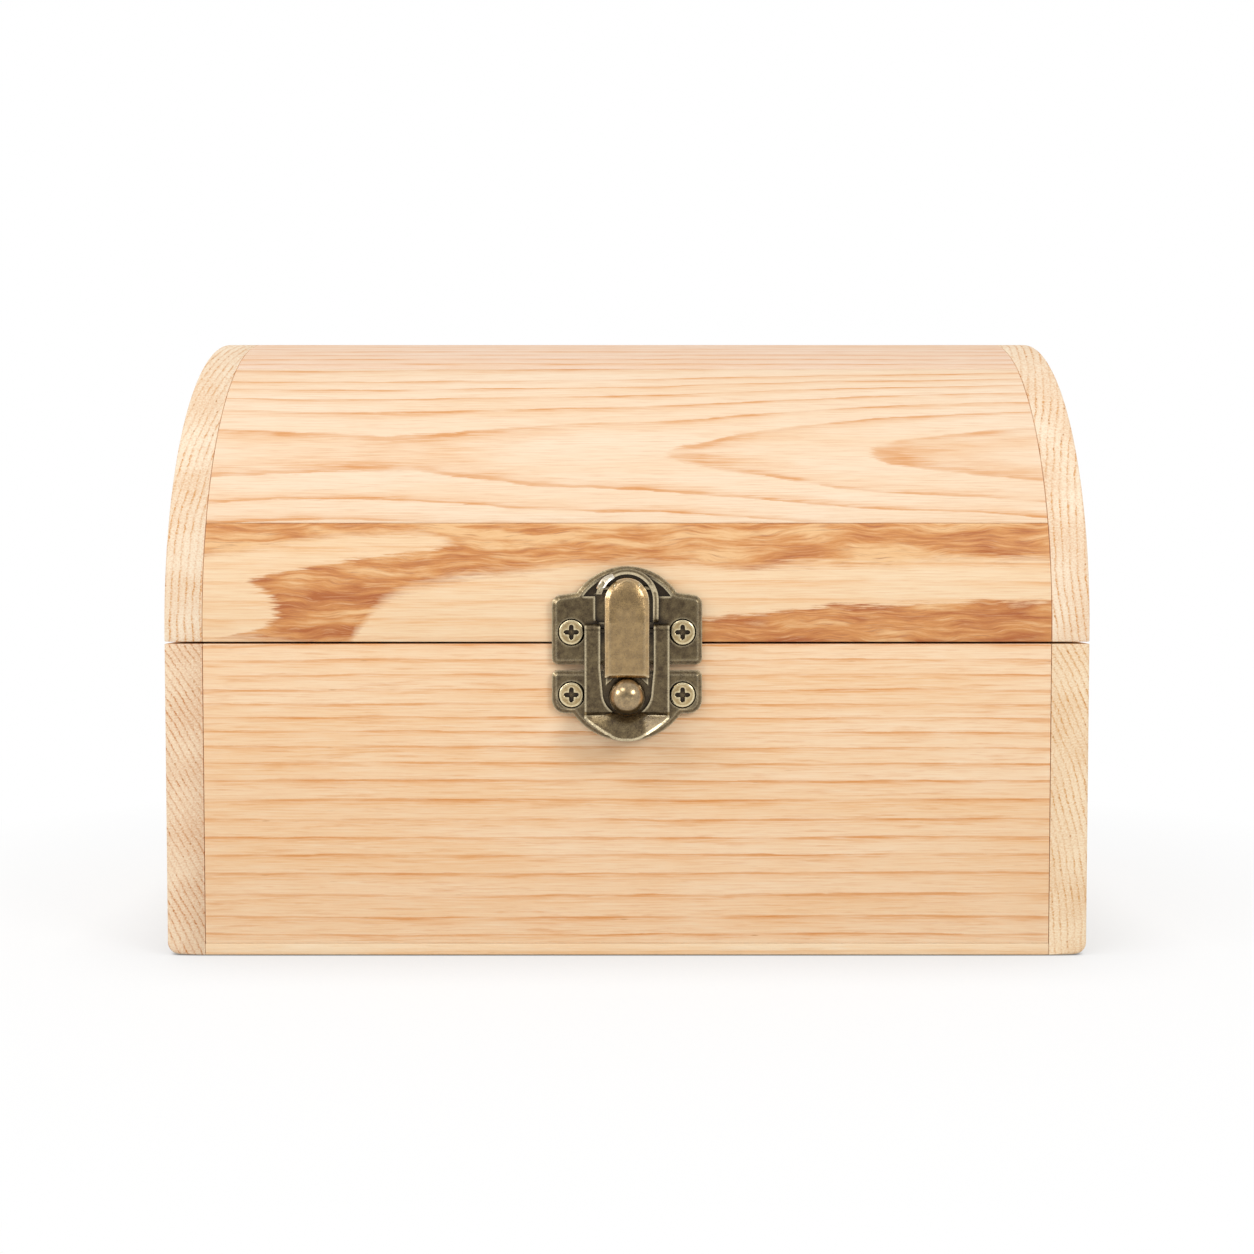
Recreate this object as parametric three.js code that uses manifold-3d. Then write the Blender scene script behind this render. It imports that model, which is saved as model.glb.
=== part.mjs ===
import * as THREE from 'three';
import { mergeVertices } from 'three/addons/utils/BufferGeometryUtils.js';
import Module from 'manifold-3d';

// A small pine chest with a half-round coopered lid, two back hinges and a ball latch.
// Millimetres, +Z up, the front faces -Y, the origin is the middle of the underside.
const wasm = await Module();
wasm.setup();

// Wooden box
const boxWidth = 170;
const boxDepth = 120;
const bodyHeight = 57.5;
const boardThickness = 7;
const bottomThickness = 2;
const arrisRadius = 2.2;
const seamGap = 0.4;
const glueGap = 0.1;

// Coopered lid: a low straight skirt, then a half circle of staves
const lidSkirt = 1;
const staveCount = 5;
const lowestStaveAngle = 20.3;
const staveEdgeThickness = 6;

// Clearances shared by screws, pins and bores
const screwGap = 0.18;
const pinGap = 0.15;
const pilotExtraDepth = 0.4;
const overrun = 1;

// Latch plates, measured from the latch datum just above the seam and out from the front
const latchRise = 1.5;
const plateHalfWidth = 13.73;
const plateThickness = 1.5;
const plateBevelWidth = 0.8;
const plateBevelDepth = 0.6;
const plateCornerRadius = 1.05;
const shoulderCornerRadius = 1.7;
const upperPlateDrop = 5.4;
const shoulderRise = 7.05;
const archFootHalfWidth = 9.15;
const archRadius = 11.05;
const platesGap = 1.1;
const lowerCornerRadius = 2.4;
const lowerShoulderDrop = 14.4;
const lowerArcHalfWidth = 9.9;
const lowerPlateDrop = 19.5;
const rimWidth = 1.3;
const pocketDepth = 0.8;

// Latch screws
const latchScrewHalfSpacing = 10.15;
const upperScrewRise = 0.5;
const lowerScrewDrop = 10.95;
const latchScrewHeadRadius = 2.34;
const latchScrewShankRadius = 0.85;
const latchScrewLength = 5.5;
const latchScrewProud = 0.15;
const recessSpan = 2.75;
const recessArmWidth = 0.74;
const recessDepth = 0.8;
const screwTipLength = 1.6;
const screwEdgeBreak = 0.2;

// Ball stud on the lower plate
const ballRadius = 3.3;
const ballDrop = 11;
const studFlangeRadius = 2.2;
const studFlangeHeight = 0.4;
const studNeckRadius = 1.6;
const studTailRadius = 1.2;
const studTailLength = 4;

// Bail: two legs hung on a pin, and a flared lip
const bailHalfWidth = 7.68;
const bailThickness = 1.2;
const bailAxisRise = 0.8;
const knuckleFloorGap = 0.25;
const bailPinRadius = 0.45;
const bailPinInset = 0.5;
const bailSideGap = 0.4;
const bailUpperExtra = 0.4;
const bailTaperTop = 6;
const ballGap = 0.25;
const foldDrop = 13.85;
const lipLength = 5;
const lipRise = 3;
const lipDish = 0.9;
const lipOverlap = 0.4;
const lipSetShare = 1.25;
const lugHalfWidth = 4;
const lugWidth = 1.8;
const lugWall = 0.35;

// Lever: a round-topped tongue hung on a pin inside the collar
const leverHalfWidth = 4.06;
const leverTopRise = 10.45;
const leverDrop = 7.65;
const leverThickness = 1.4;
const leverBevelWidth = 0.7;
const leverBevelDepth = 0.5;
const leverCornerRadius = 0.9;
const leverLugGap = 0.3;
const leverAxisRise = 8.6;
const leverAxisInset = 0.4;
const leverPinRadius = 0.45;
const leverBossWall = 0.5;
const leverBossHalfWidth = 2.4;
const gripThickness = 0.9;
const gripHalfWidth = 3.9;
const gripTop = 2.5;
const gripShoulderDrop = 9.15;
const gripNotchHalfWidth = 2.2;

// Collar round the lever's top
const collarGap = 0.66;
const collarWall = 1;
const collarFoot = 2.3;
const collarFootHeight = 2.4;
const collarHeightTop = 4.6;
const collarRiseStart = 7.2;
const collarRiseEnd = 9.4;
const collarCrownHeight = 1.9;
const collarFloor = 0.6;
const notchTop = 7.5;
const notchWidth = 1.75;
const notchCornerRadius = 0.7;

// Butt hinges on the back
const hingeInset = 37;
const hingeWidth = 18;
const leafHeight = 8.6;
const leafThickness = 1;
const hingeAxisOut = 1.75;
const knuckleRadius = 1.5;
const hingePinRadius = 0.6;
const middleKnuckleWidth = 6.4;
const knuckleEndGap = 0.3;
const leafKnuckleGap = 0.3;
const hingeScrewEdge = 3.2;
const hingeScrewDistance = 5.3;
const hingeScrewHeadRadius = 1.75;
const hingeScrewShankRadius = 0.75;
const hingeScrewLength = 4.8;
const hingeScrewProud = 0.1;
const hingeRecessSpan = 2.1;
const hingeRecessArmWidth = 0.56;
const hingeRecessDepth = 0.55;
const hingeTipLength = 1.4;

// How finely round stretches are cut
const roundSegments = 24;
const smallRoundSegments = 16;
const ballRings = 14;
const arcSteps = 28;
const staveSteps = 9;
const arrisSteps = 4;
const cornerSteps = 4;
const lipColumns = 10;

// Places worked out from the sizes
const frontFace = -boxDepth / 2;
const backFace = boxDepth / 2;
const lidBottom = bodyHeight + seamGap;
const seamMiddle = bodyHeight + seamGap / 2;
const lidRadius = boxDepth / 2;
const lidCentre = lidBottom + lidSkirt;
const panelHalfLength = boxWidth / 2 - boardThickness - glueGap;
const latchDatum = seamMiddle + latchRise;
const bailKnuckleRadius = bailThickness;
const bailAxisOut = plateThickness + knuckleFloorGap + bailKnuckleRadius;
const lugTop = bailAxisOut + bailPinRadius + pinGap + lugWall;
const leverBack = lugTop + leverLugGap;
const leverFront = leverBack + leverThickness;
const leverAxisOut = leverBack - leverAxisInset;
const leverArcRise = leverTopRise - leverHalfWidth;
const collarInnerRadius = leverHalfWidth + collarGap;
const collarOuterRadius = collarInnerRadius + collarWall;
const archCentreRise = leverTopRise + collarGap + rimWidth + pinGap - archRadius;
const ballSeat = plateThickness + studFlangeHeight;
const ballOut = ballSeat + Math.sqrt(ballRadius ** 2 - studNeckRadius ** 2);
const bailInnerHalfWidth = leverHalfWidth + bailSideGap;
const bailReach = Math.hypot(ballOut - bailAxisOut, bailAxisRise + ballDrop) + ballRadius + ballGap;
const lowerPlateTop = upperPlateDrop + platesGap;
const hingeHalfSpacing = boxWidth / 2 - hingeInset;
const hingeScrewHalfSpacing = hingeWidth / 2 - hingeScrewEdge;

const pine = { color: 0xe9c79a, roughness: 0.62, metalness: 0 };
const paleEndGrain = { color: 0xecd6b4, roughness: 0.7, metalness: 0 };
const thinPly = { color: 0xe8cba0, roughness: 0.66, metalness: 0 };
const bronze = { color: 0x7a6c50, roughness: 0.45, metalness: 0.85 };
const wornBronze = { color: 0x9a8660, roughness: 0.38, metalness: 0.9 };
const screwBronze = { color: 0xa8956c, roughness: 0.4, metalness: 0.9 };

// Places of an outline's points: across and up at a distance out from the front face,
// or depth and height at a place along the width
const onFront = (across, up, out) => new THREE.Vector3(across, -out, up);
const alongWidth = (deep, up, across) => new THREE.Vector3(across, deep, up);
const fromTop = (across, out, up) => new THREE.Vector3(across, -out, up);

// A closed solid from a geometry, with its faces turned outwards
function solidOf(geometry) {
  const bare = geometry.clone();
  bare.deleteAttribute('normal');
  bare.deleteAttribute('uv');
  const merged = mergeVertices(bare);
  const triVerts = Uint32Array.from(merged.index.array);
  const vertProperties = Float32Array.from(merged.attributes.position.array);
  const a = new THREE.Vector3();
  const b = new THREE.Vector3();
  const c = new THREE.Vector3();
  let volume = 0;
  for (let i = 0; i < triVerts.length; i += 3) {
    a.fromArray(vertProperties, triVerts[i] * 3);
    b.fromArray(vertProperties, triVerts[i + 1] * 3);
    c.fromArray(vertProperties, triVerts[i + 2] * 3);
    volume += a.dot(b.cross(c));
  }
  if (volume < 0) {
    for (let i = 0; i < triVerts.length; i += 3) {
      [triVerts[i], triVerts[i + 1]] = [triVerts[i + 1], triVerts[i]];
    }
  }
  return new wasm.Manifold(new wasm.Mesh({ numProp: 3, vertProperties, triVerts }));
}

// The triangles that close an outline's end
const earCap = (outline) => THREE.ShapeUtils.triangulateShape(outline, []);

// The same for a strip whose second half runs back along its first half
function ladderCap(outline) {
  const last = outline.length - 1;
  const triangles = [];
  for (let i = 0; i + 1 < outline.length / 2; i += 1) {
    triangles.push([i, i + 1, last - i]);
    triangles.push([i + 1, last - i - 1, last - i]);
  }
  return triangles;
}

// A solid through like-numbered outlines, each at its own level
function loft(outlines, levels, place, cap = earCap) {
  const turned = THREE.ShapeUtils.isClockWise(outlines[0]);
  const rings = turned ? outlines.map((outline) => [...outline].reverse()) : outlines;
  const count = rings[0].length;
  const points = rings.flatMap((ring, i) => ring.map((p) => place(p.x, p.y, levels[i])));
  const index = [];
  for (let i = 0; i + 1 < rings.length; i += 1) {
    for (let k = 0; k < count; k += 1) {
      const low = i * count + k;
      const lowNext = i * count + ((k + 1) % count);
      index.push(low, lowNext, lowNext + count, low, lowNext + count, low + count);
    }
  }
  const top = (rings.length - 1) * count;
  for (const [a, b, c] of cap(rings[0])) {
    index.push(c, b, a);
  }
  for (const [a, b, c] of cap(rings[rings.length - 1])) {
    index.push(top + a, top + b, top + c);
  }
  const geometry = new THREE.BufferGeometry().setFromPoints(points);
  geometry.setIndex(index);
  return solidOf(geometry);
}

const prism = (outline, from, to, place) => loft([outline, outline], [from, to], place);

// An outline moved inwards by a distance
function inset(outline, distance) {
  const sign = THREE.ShapeUtils.isClockWise(outline) ? -1 : 1;
  const count = outline.length;
  return outline.map((point, i) => {
    const before = outline[(i + count - 1) % count];
    const after = outline[(i + 1) % count];
    const arriving = point.clone().sub(before).normalize();
    const leaving = after.clone().sub(point).normalize();
    const n1 = new THREE.Vector2(-arriving.y * sign, arriving.x * sign);
    const n2 = new THREE.Vector2(-leaving.y * sign, leaving.x * sign);
    const shift = distance / (1 + n1.dot(n2));
    return point.clone().addScaledVector(n1.add(n2), shift);
  });
}

// An outline from corners given as [across, up, rounding radius]
function rounded(corners) {
  const count = corners.length;
  return corners.flatMap(([x, y, radius], i) => {
    const corner = new THREE.Vector2(x, y);
    if (!radius) {
      return [corner];
    }
    const [bx, by] = corners[(i + count - 1) % count];
    const [ax, ay] = corners[(i + 1) % count];
    const back = new THREE.Vector2(bx, by).sub(corner).normalize();
    const on = new THREE.Vector2(ax, ay).sub(corner).normalize();
    const half = Math.acos(back.dot(on)) / 2;
    const start = corner.clone().addScaledVector(back, radius / Math.tan(half));
    const end = corner.clone().addScaledVector(on, radius / Math.tan(half));
    const middle = back.clone().add(on).normalize();
    const centre = corner.clone().addScaledVector(middle, radius / Math.sin(half));
    const first = start.clone().sub(centre);
    const turn = Math.atan2(first.cross(end.clone().sub(centre)), first.dot(end.clone().sub(centre)));
    return Array.from({ length: cornerSteps + 1 }, (_, k) =>
      first.clone().rotateAround(new THREE.Vector2(), (turn * k) / cornerSteps).add(centre));
  });
}

// Points of an arc about a centre, angles in radians
function arc(centreX, centreY, radius, from, to, steps) {
  return Array.from({ length: steps + 1 }, (_, k) => {
    const angle = from + ((to - from) * k) / steps;
    return [centreX + radius * Math.cos(angle), centreY + radius * Math.sin(angle), 0];
  });
}

// A box between two corners
function block(x0, x1, y0, y1, z0, z1) {
  const geometry = new THREE.BoxGeometry(Math.abs(x1 - x0), Math.abs(y1 - y0), Math.abs(z1 - z0));
  return solidOf(geometry.translate((x0 + x1) / 2, (y0 + y1) / 2, (z0 + z1) / 2));
}

// A round bar across the width
function barAcross(radius, x0, x1, y, z, segments = smallRoundSegments) {
  const geometry = new THREE.CylinderGeometry(radius, radius, x1 - x0, segments);
  return solidOf(geometry.rotateZ(Math.PI / 2).translate((x0 + x1) / 2, y, z));
}

// A round bar, or a cone, along the depth
function barDeep(radius0, radius1, x, z, y0, y1, segments = smallRoundSegments) {
  const geometry = new THREE.CylinderGeometry(radius1, radius0, y1 - y0, segments);
  return solidOf(geometry.translate(x, (y0 + y1) / 2, z));
}

// A mesh from a solid
function meshOf(name, solid, look, position = [0, 0, 0]) {
  const { numProp, vertProperties, triVerts } = solid.getMesh();
  const places = new THREE.InterleavedBuffer(vertProperties, numProp);
  const geometry = new THREE.BufferGeometry();
  geometry.setAttribute('position', new THREE.InterleavedBufferAttribute(places, 3, 0));
  geometry.setIndex(new THREE.BufferAttribute(triVerts, 1));
  const flat = geometry.toNonIndexed();
  flat.computeVertexNormals();
  const mesh = new THREE.Mesh(flat, new THREE.MeshStandardMaterial(look));
  mesh.name = name;
  mesh.position.set(...position);
  return mesh;
}

// Pilot holes for screws that enter a board from the face at y, which looks along facing
function pilots(places, shankRadius, length, y, facing) {
  return places.map(([x, z]) => {
    const inner = y - facing * (length + pilotExtraDepth);
    const outer = y + facing * overrun;
    const radius = shankRadius + screwGap;
    return barDeep(radius, radius, x, z, Math.min(inner, outer), Math.max(inner, outer));
  });
}

const cutAll = (solid, cutters) => cutters.reduce((left, cutter) => left.subtract(cutter), solid);
const joinAll = (solids) => solids.reduce((whole, piece) => whole.add(piece));

// The screws' places on the front and the back, as [across, up]
const upperScrewPlaces = [-1, 1].map((side) => [side * latchScrewHalfSpacing, latchDatum + upperScrewRise]);
const lowerScrewPlaces = [-1, 1].map((side) => [side * latchScrewHalfSpacing, latchDatum - lowerScrewDrop]);
const hingeScrewPlaces = (up) => [-1, 1].flatMap((hinge) => [-1, 1].map((side) =>
  [hinge * hingeHalfSpacing + side * hingeScrewHalfSpacing, seamMiddle + up * hingeScrewDistance]));

// Front and back boards
function wallPanel(y0, y1) {
  return block(-panelHalfLength, panelHalfLength, y0, y1, bottomThickness + glueGap, bodyHeight);
}

function frontPanel() {
  const studHole = studTailRadius + screwGap;
  const studEnd = frontFace + studTailLength + pilotExtraDepth;
  const holes = pilots(lowerScrewPlaces, latchScrewShankRadius, latchScrewLength, frontFace, -1);
  holes.push(barDeep(studHole, studHole, 0, latchDatum - ballDrop, frontFace - overrun, studEnd));
  return cutAll(wallPanel(frontFace, frontFace + boardThickness), holes);
}

function backPanel() {
  const places = hingeScrewPlaces(-1);
  const length = hingeScrewLength;
  const holes = pilots(places, hingeScrewShankRadius, length, backFace, 1);
  return cutAll(wallPanel(backFace - boardThickness, backFace), holes);
}

function bottomPanel() {
  return block(-panelHalfLength, panelHalfLength, frontFace, backFace, 0, bottomThickness);
}

// An end board from its outline, with the outer edge rounded all round
function endBoard(outline, side) {
  const outer = (side * boxWidth) / 2;
  const outlines = [outline];
  const levels = [outer - side * boardThickness];
  for (let k = 0; k <= arrisSteps; k += 1) {
    const angle = (k / arrisSteps) * (Math.PI / 2);
    outlines.push(inset(outline, arrisRadius * (1 - Math.cos(angle))));
    levels.push(outer - side * arrisRadius * (1 - Math.sin(angle)));
  }
  return loft(outlines, levels, alongWidth);
}

function bodyEnd(side) {
  const above = bodyHeight + arrisRadius + overrun;
  const corners = [[frontFace, above, 0], [frontFace, 0, 0], [backFace, 0, 0], [backFace, above, 0]];
  const board = endBoard(rounded(corners), side);
  const keep = block(-boxWidth, boxWidth, frontFace - overrun, backFace + overrun, -overrun, bodyHeight);
  return board.intersect(keep);
}

function lidEnd(side) {
  const below = lidBottom - arrisRadius - overrun;
  const over = arc(0, lidCentre, lidRadius, 0, Math.PI, arcSteps);
  const corners = [[frontFace, below, 0], [backFace, below, 0], ...over];
  const board = endBoard(rounded(corners), side);
  const top = lidCentre + lidRadius + overrun;
  const keep = block(-boxWidth, boxWidth, frontFace - overrun, backFace + overrun, lidBottom, top);
  return board.intersect(keep);
}

// Joint angles of the staves, from the front seam over the top to the back seam
const radians = Math.PI / 180;
const upperStaveAngle = (180 - lowestStaveAngle) / (staveCount - 1);
const jointAngle = (joint) => (joint === 0 ? 0 : lowestStaveAngle + (joint - 1) * upperStaveAngle);

// A point at a radius and an angle, moved along the round by a small step
function onRound(radius, degrees, step) {
  const angle = degrees * radians;
  const deep = -radius * Math.cos(angle) + step * Math.sin(angle);
  return [deep, lidCentre + radius * Math.sin(angle) + step * Math.cos(angle), 0];
}

function stave(number) {
  const start = jointAngle(number - 1);
  const end = jointAngle(number);
  const innerRadius = lidRadius - staveEdgeThickness;
  const foot = lidRadius - boardThickness;
  const startGap = number === 1 ? 0 : glueGap / 2;
  const endGap = number === staveCount ? 0 : glueGap / 2;
  const corners = [];
  if (number === 1) {
    corners.push([-foot, lidCentre, 0], [-foot, lidBottom, 0], [frontFace, lidBottom, 0]);
  } else {
    corners.push(onRound(innerRadius, start, startGap));
  }
  for (let k = 0; k <= staveSteps; k += 1) {
    const stepGap = (k === 0 ? startGap : 0) - (k === staveSteps ? endGap : 0);
    corners.push(onRound(lidRadius, start + ((end - start) * k) / staveSteps, stepGap));
  }
  if (number === staveCount) {
    corners.push([backFace, lidBottom, 0], [foot, lidBottom, 0], [foot, lidCentre, 0]);
  } else {
    corners.push(onRound(innerRadius, end, -endGap));
  }
  const solid = prism(rounded(corners), -panelHalfLength, panelHalfLength, alongWidth);
  if (number === 1) {
    return cutAll(solid, pilots(upperScrewPlaces, latchScrewShankRadius, latchScrewLength, frontFace, -1));
  }
  if (number === staveCount) {
    return cutAll(solid, pilots(hingeScrewPlaces(1), hingeScrewShankRadius, hingeScrewLength, backFace, 1));
  }
  return solid;
}

// The cross recess in a screw's head
function crossOutline(span, armWidth) {
  const corners = [];
  for (let arm = 0; arm < 4; arm += 1) {
    const angle = (arm * Math.PI) / 2;
    const reach = span / 2 - armWidth / 2;
    const [x, y] = [reach * Math.cos(angle), reach * Math.sin(angle)];
    corners.push(...arc(x, y, armWidth / 2, angle - Math.PI / 2, angle + Math.PI / 2, cornerSteps));
    const corner = angle + Math.PI / 4;
    const inner = (armWidth / 2) * Math.SQRT2;
    corners.push([inner * Math.cos(corner), inner * Math.sin(corner), 0]);
  }
  return rounded(corners);
}

// A countersunk screw whose head fills a plate of the given thickness, facing along y
function screw(size, facing) {
  const top = size.seat + size.proud;
  const profile = [
    [0, top],
    [size.head - screwEdgeBreak, top],
    [size.head, top - screwEdgeBreak],
    [size.shank, 0],
    [size.shank, size.tip - size.length],
    [0, -size.length],
  ].map(([radius, out]) => new THREE.Vector2(radius, out * facing));
  const body = solidOf(new THREE.LatheGeometry(profile, roundSegments));
  const outline = crossOutline(size.recessSpan, size.recessArm);
  const place = (across, up, out) => new THREE.Vector3(across, out * facing, up);
  return body.subtract(prism(outline, top - size.recessDepth, top + overrun, place));
}

const latchScrew = {
  seat: plateThickness,
  proud: latchScrewProud,
  head: latchScrewHeadRadius,
  shank: latchScrewShankRadius,
  length: latchScrewLength,
  tip: screwTipLength,
  recessSpan,
  recessArm: recessArmWidth,
  recessDepth,
};

const hingeScrew = {
  seat: leafThickness,
  proud: hingeScrewProud,
  head: hingeScrewHeadRadius,
  shank: hingeScrewShankRadius,
  length: hingeScrewLength,
  tip: hingeTipLength,
  recessSpan: hingeRecessSpan,
  recessArm: hingeRecessArmWidth,
  recessDepth: hingeRecessDepth,
};

// The countersunk hole that takes such a screw, from the plate's back at y
function countersink(size, x, z, y, facing) {
  const slope = (size.head - size.shank) / size.seat;
  const under = screwGap;
  const back = size.shank + screwGap - slope * under;
  const front = size.head + screwGap + slope * under;
  const y0 = y - facing * under;
  const y1 = y + facing * (size.seat + under);
  if (facing > 0) {
    return barDeep(back, front, x, z, y0, y1, roundSegments);
  }
  return barDeep(front, back, x, z, y1, y0, roundSegments);
}

// A latch plate from its outline, bevelled round its front
function plate(outline) {
  const outlines = [outline, outline, inset(outline, plateBevelWidth)];
  return loft(outlines, [0, plateThickness - plateBevelDepth, plateThickness], onFront);
}

// The collar's or the lever's outline: a straight foot and a half-round top
function archOutline(halfWidth, foot) {
  const over = arc(0, leverArcRise, halfWidth, 0, Math.PI, roundSegments);
  return rounded([[-halfWidth, foot, 0], [halfWidth, foot, 0], ...over]);
}

function upperPlate() {
  const footAngle = Math.acos(archFootHalfWidth / archRadius);
  const over = arc(0, archCentreRise, archRadius, footAngle, Math.PI - footAngle, arcSteps);
  const outline = rounded([
    [-plateHalfWidth, -upperPlateDrop, plateCornerRadius],
    [plateHalfWidth, -upperPlateDrop, plateCornerRadius],
    [plateHalfWidth, shoulderRise, shoulderCornerRadius],
    ...over,
    [-plateHalfWidth, shoulderRise, shoulderCornerRadius],
  ]);

  // Two sunk pockets between the ears, the rim and the collar
  const pocketRadius = archRadius - rimWidth;
  const pocketAngle = Math.asin((shoulderRise - archCentreRise) / pocketRadius);
  const pocketArc = arc(0, archCentreRise, pocketRadius, pocketAngle, Math.PI - pocketAngle, arcSteps);
  const pocket = prism(rounded(pocketArc), plateThickness - pocketDepth, plateThickness + overrun, onFront);
  const collarBlank = prism(archOutline(collarOuterRadius, collarFoot), 0, leverFront, onFront);
  const dished = plate(outline).subtract(pocket.subtract(collarBlank));

  // Collar walls that rise beside the lever's pin and fall towards the crown
  const side = rounded([
    [collarFoot, 0, 0],
    [collarFoot, collarFootHeight, 0],
    [collarRiseStart, collarHeightTop, 0],
    [collarRiseEnd, collarHeightTop, 0],
    [leverArcRise + collarOuterRadius, collarCrownHeight, 0],
    [leverArcRise + collarOuterRadius, 0, 0],
  ]);
  const asSide = (up, out, across) => new THREE.Vector3(across, -out, up);
  const profile = prism(side, -plateHalfWidth, plateHalfWidth, asSide);
  const collar = collarBlank.intersect(profile);
  const well = prism(archOutline(collarInnerRadius, collarFoot), collarFloor, leverFront + overrun, onFront);
  const notchOuter = -leverHalfWidth - notchWidth;
  const notch = prism(rounded([
    [notchOuter, collarFoot, notchCornerRadius],
    [-leverHalfWidth, collarFoot, 0],
    [-leverHalfWidth, notchTop, 0],
    [notchOuter, notchTop, 0],
  ]), collarFloor, leverFront + overrun, onFront);
  const sunk = dished.add(collar).subtract(well).subtract(notch);

  // Two lugs under the lever that carry the bail's pin
  const bore = bailPinRadius + pinGap;
  const lugReach = bore + lugWall;
  const lugs = [-1, 1].map((way) => block(
    way * lugHalfWidth,
    way * (lugHalfWidth - lugWidth),
    -lugTop,
    -plateThickness / 2,
    bailAxisRise - lugReach,
    bailAxisRise + lugReach,
  ));
  const leverBore = leverPinRadius + pinGap;
  const cutters = [
    barAcross(bore, -plateHalfWidth, plateHalfWidth, -bailAxisOut, bailAxisRise),
    barAcross(leverBore, -plateHalfWidth, plateHalfWidth, -leverAxisOut, leverAxisRise),
    ...[-1, 1].map((way) => countersink(latchScrew, way * latchScrewHalfSpacing, upperScrewRise, 0, -1)),
  ];
  return cutAll(joinAll([sunk, ...lugs]), cutters);
}

function lowerPlate() {
  const sagitta = lowerPlateDrop - lowerShoulderDrop;
  const radius = (lowerArcHalfWidth ** 2 + sagitta ** 2) / (2 * sagitta);
  const centre = radius - lowerPlateDrop;
  const footAngle = Math.asin(lowerArcHalfWidth / radius);
  const from = -Math.PI / 2 - footAngle;
  const under = arc(0, centre, radius, from, -Math.PI / 2 + footAngle, arcSteps);
  const outline = rounded([
    [plateHalfWidth, -lowerPlateTop, plateCornerRadius],
    [-plateHalfWidth, -lowerPlateTop, plateCornerRadius],
    [-plateHalfWidth, -lowerShoulderDrop, lowerCornerRadius],
    ...under,
    [plateHalfWidth, -lowerShoulderDrop, lowerCornerRadius],
  ]);
  const hole = studTailRadius + screwGap;
  const cutters = [
    barDeep(hole, hole, 0, -ballDrop, -plateThickness - overrun, overrun),
    ...[-1, 1].map((way) => countersink(latchScrew, way * latchScrewHalfSpacing, -lowerScrewDrop, 0, -1)),
  ];
  return cutAll(plate(outline), cutters);
}

// The stud: a tail through the plate, a flange on it, a neck and the ball
function ballStud() {
  const neckAngle = Math.asin(studNeckRadius / ballRadius);
  const ball = [];
  for (let k = 0; k <= ballRings; k += 1) {
    const angle = Math.PI - neckAngle - ((Math.PI - neckAngle) * k) / ballRings;
    ball.push([ballRadius * Math.sin(angle), ballOut + ballRadius * Math.cos(angle)]);
  }
  ball[ball.length - 1][0] = 0;
  const profile = [
    [0, -studTailLength],
    [studTailRadius, -studTailLength],
    [studTailRadius, plateThickness],
    [studFlangeRadius, plateThickness],
    [studFlangeRadius, ballSeat],
    ...ball,
  ].map(([radius, out]) => new THREE.Vector2(radius, -out));
  return solidOf(new THREE.LatheGeometry(profile, roundSegments)).translate([0, 0, -ballDrop]);
}

// Half the lip's width at shares of its length, from the fold to the tip
const lipWidthShares = [
  [0, 1],
  [0.12, 0.995],
  [0.2, 0.95],
  [0.34, 0.82],
  [0.52, 0.665],
  [0.68, 0.545],
  [0.77, 0.49],
  [0.8, 0.44],
  [0.9, 0.35],
  [0.96, 0.25],
  [1, 0.12],
];

// The flared lip below the fold, dished across
function bailLip() {
  const bailFront = bailAxisOut + bailThickness;
  const outlines = [];
  const levels = [];
  for (const [lengthShare, widthShare] of lipWidthShares) {
    const half = bailHalfWidth * widthShare;
    const front = [];
    for (let k = 0; k <= lipColumns; k += 1) {
      const across = -half + (2 * half * k) / lipColumns;
      const dish = lipDish * lengthShare * (across / bailHalfWidth) ** 2;
      front.push(new THREE.Vector2(across, bailFront + lipRise * lengthShare ** lipSetShare + dish));
    }
    const back = front.map((p) => new THREE.Vector2(p.x, p.y - bailThickness)).reverse();
    outlines.push([...front, ...back]);
    levels.push(-foldDrop - lipLength * lengthShare);
  }
  return loft(outlines, levels, fromTop, ladderCap);
}

function bail() {
  const bailFront = bailAxisOut + bailThickness;
  const legs = prism(rounded([
    [-bailHalfWidth, bailAxisRise, 0],
    [-bailHalfWidth, -foldDrop - lipOverlap, 0],
    [bailHalfWidth, -foldDrop - lipOverlap, 0],
    [bailHalfWidth, bailAxisRise, 0],
  ]), bailAxisOut, bailFront, onFront);
  const knuckle = barAcross(
    bailKnuckleRadius,
    -bailHalfWidth,
    bailHalfWidth,
    -bailAxisOut,
    bailAxisRise,
    roundSegments,
  );
  const upper = bailInnerHalfWidth + bailUpperExtra;
  const centre = bailAxisRise - bailReach + bailInnerHalfWidth;
  const under = arc(0, centre, bailInnerHalfWidth, 0, -Math.PI, roundSegments);
  const above = bailAxisRise + bailKnuckleRadius + overrun;
  const opening = prism(rounded([
    [-upper, -bailTaperTop, 0],
    [-upper, above, 0],
    [upper, above, 0],
    [upper, -bailTaperTop, 0],
    ...under,
  ]), 0, leverFront + lipRise + overrun, onFront);
  const bore = barAcross(bailPinRadius + pinGap, -plateHalfWidth, plateHalfWidth, -bailAxisOut, bailAxisRise);
  return joinAll([legs, knuckle, bailLip()]).subtract(opening).subtract(bore);
}

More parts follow.
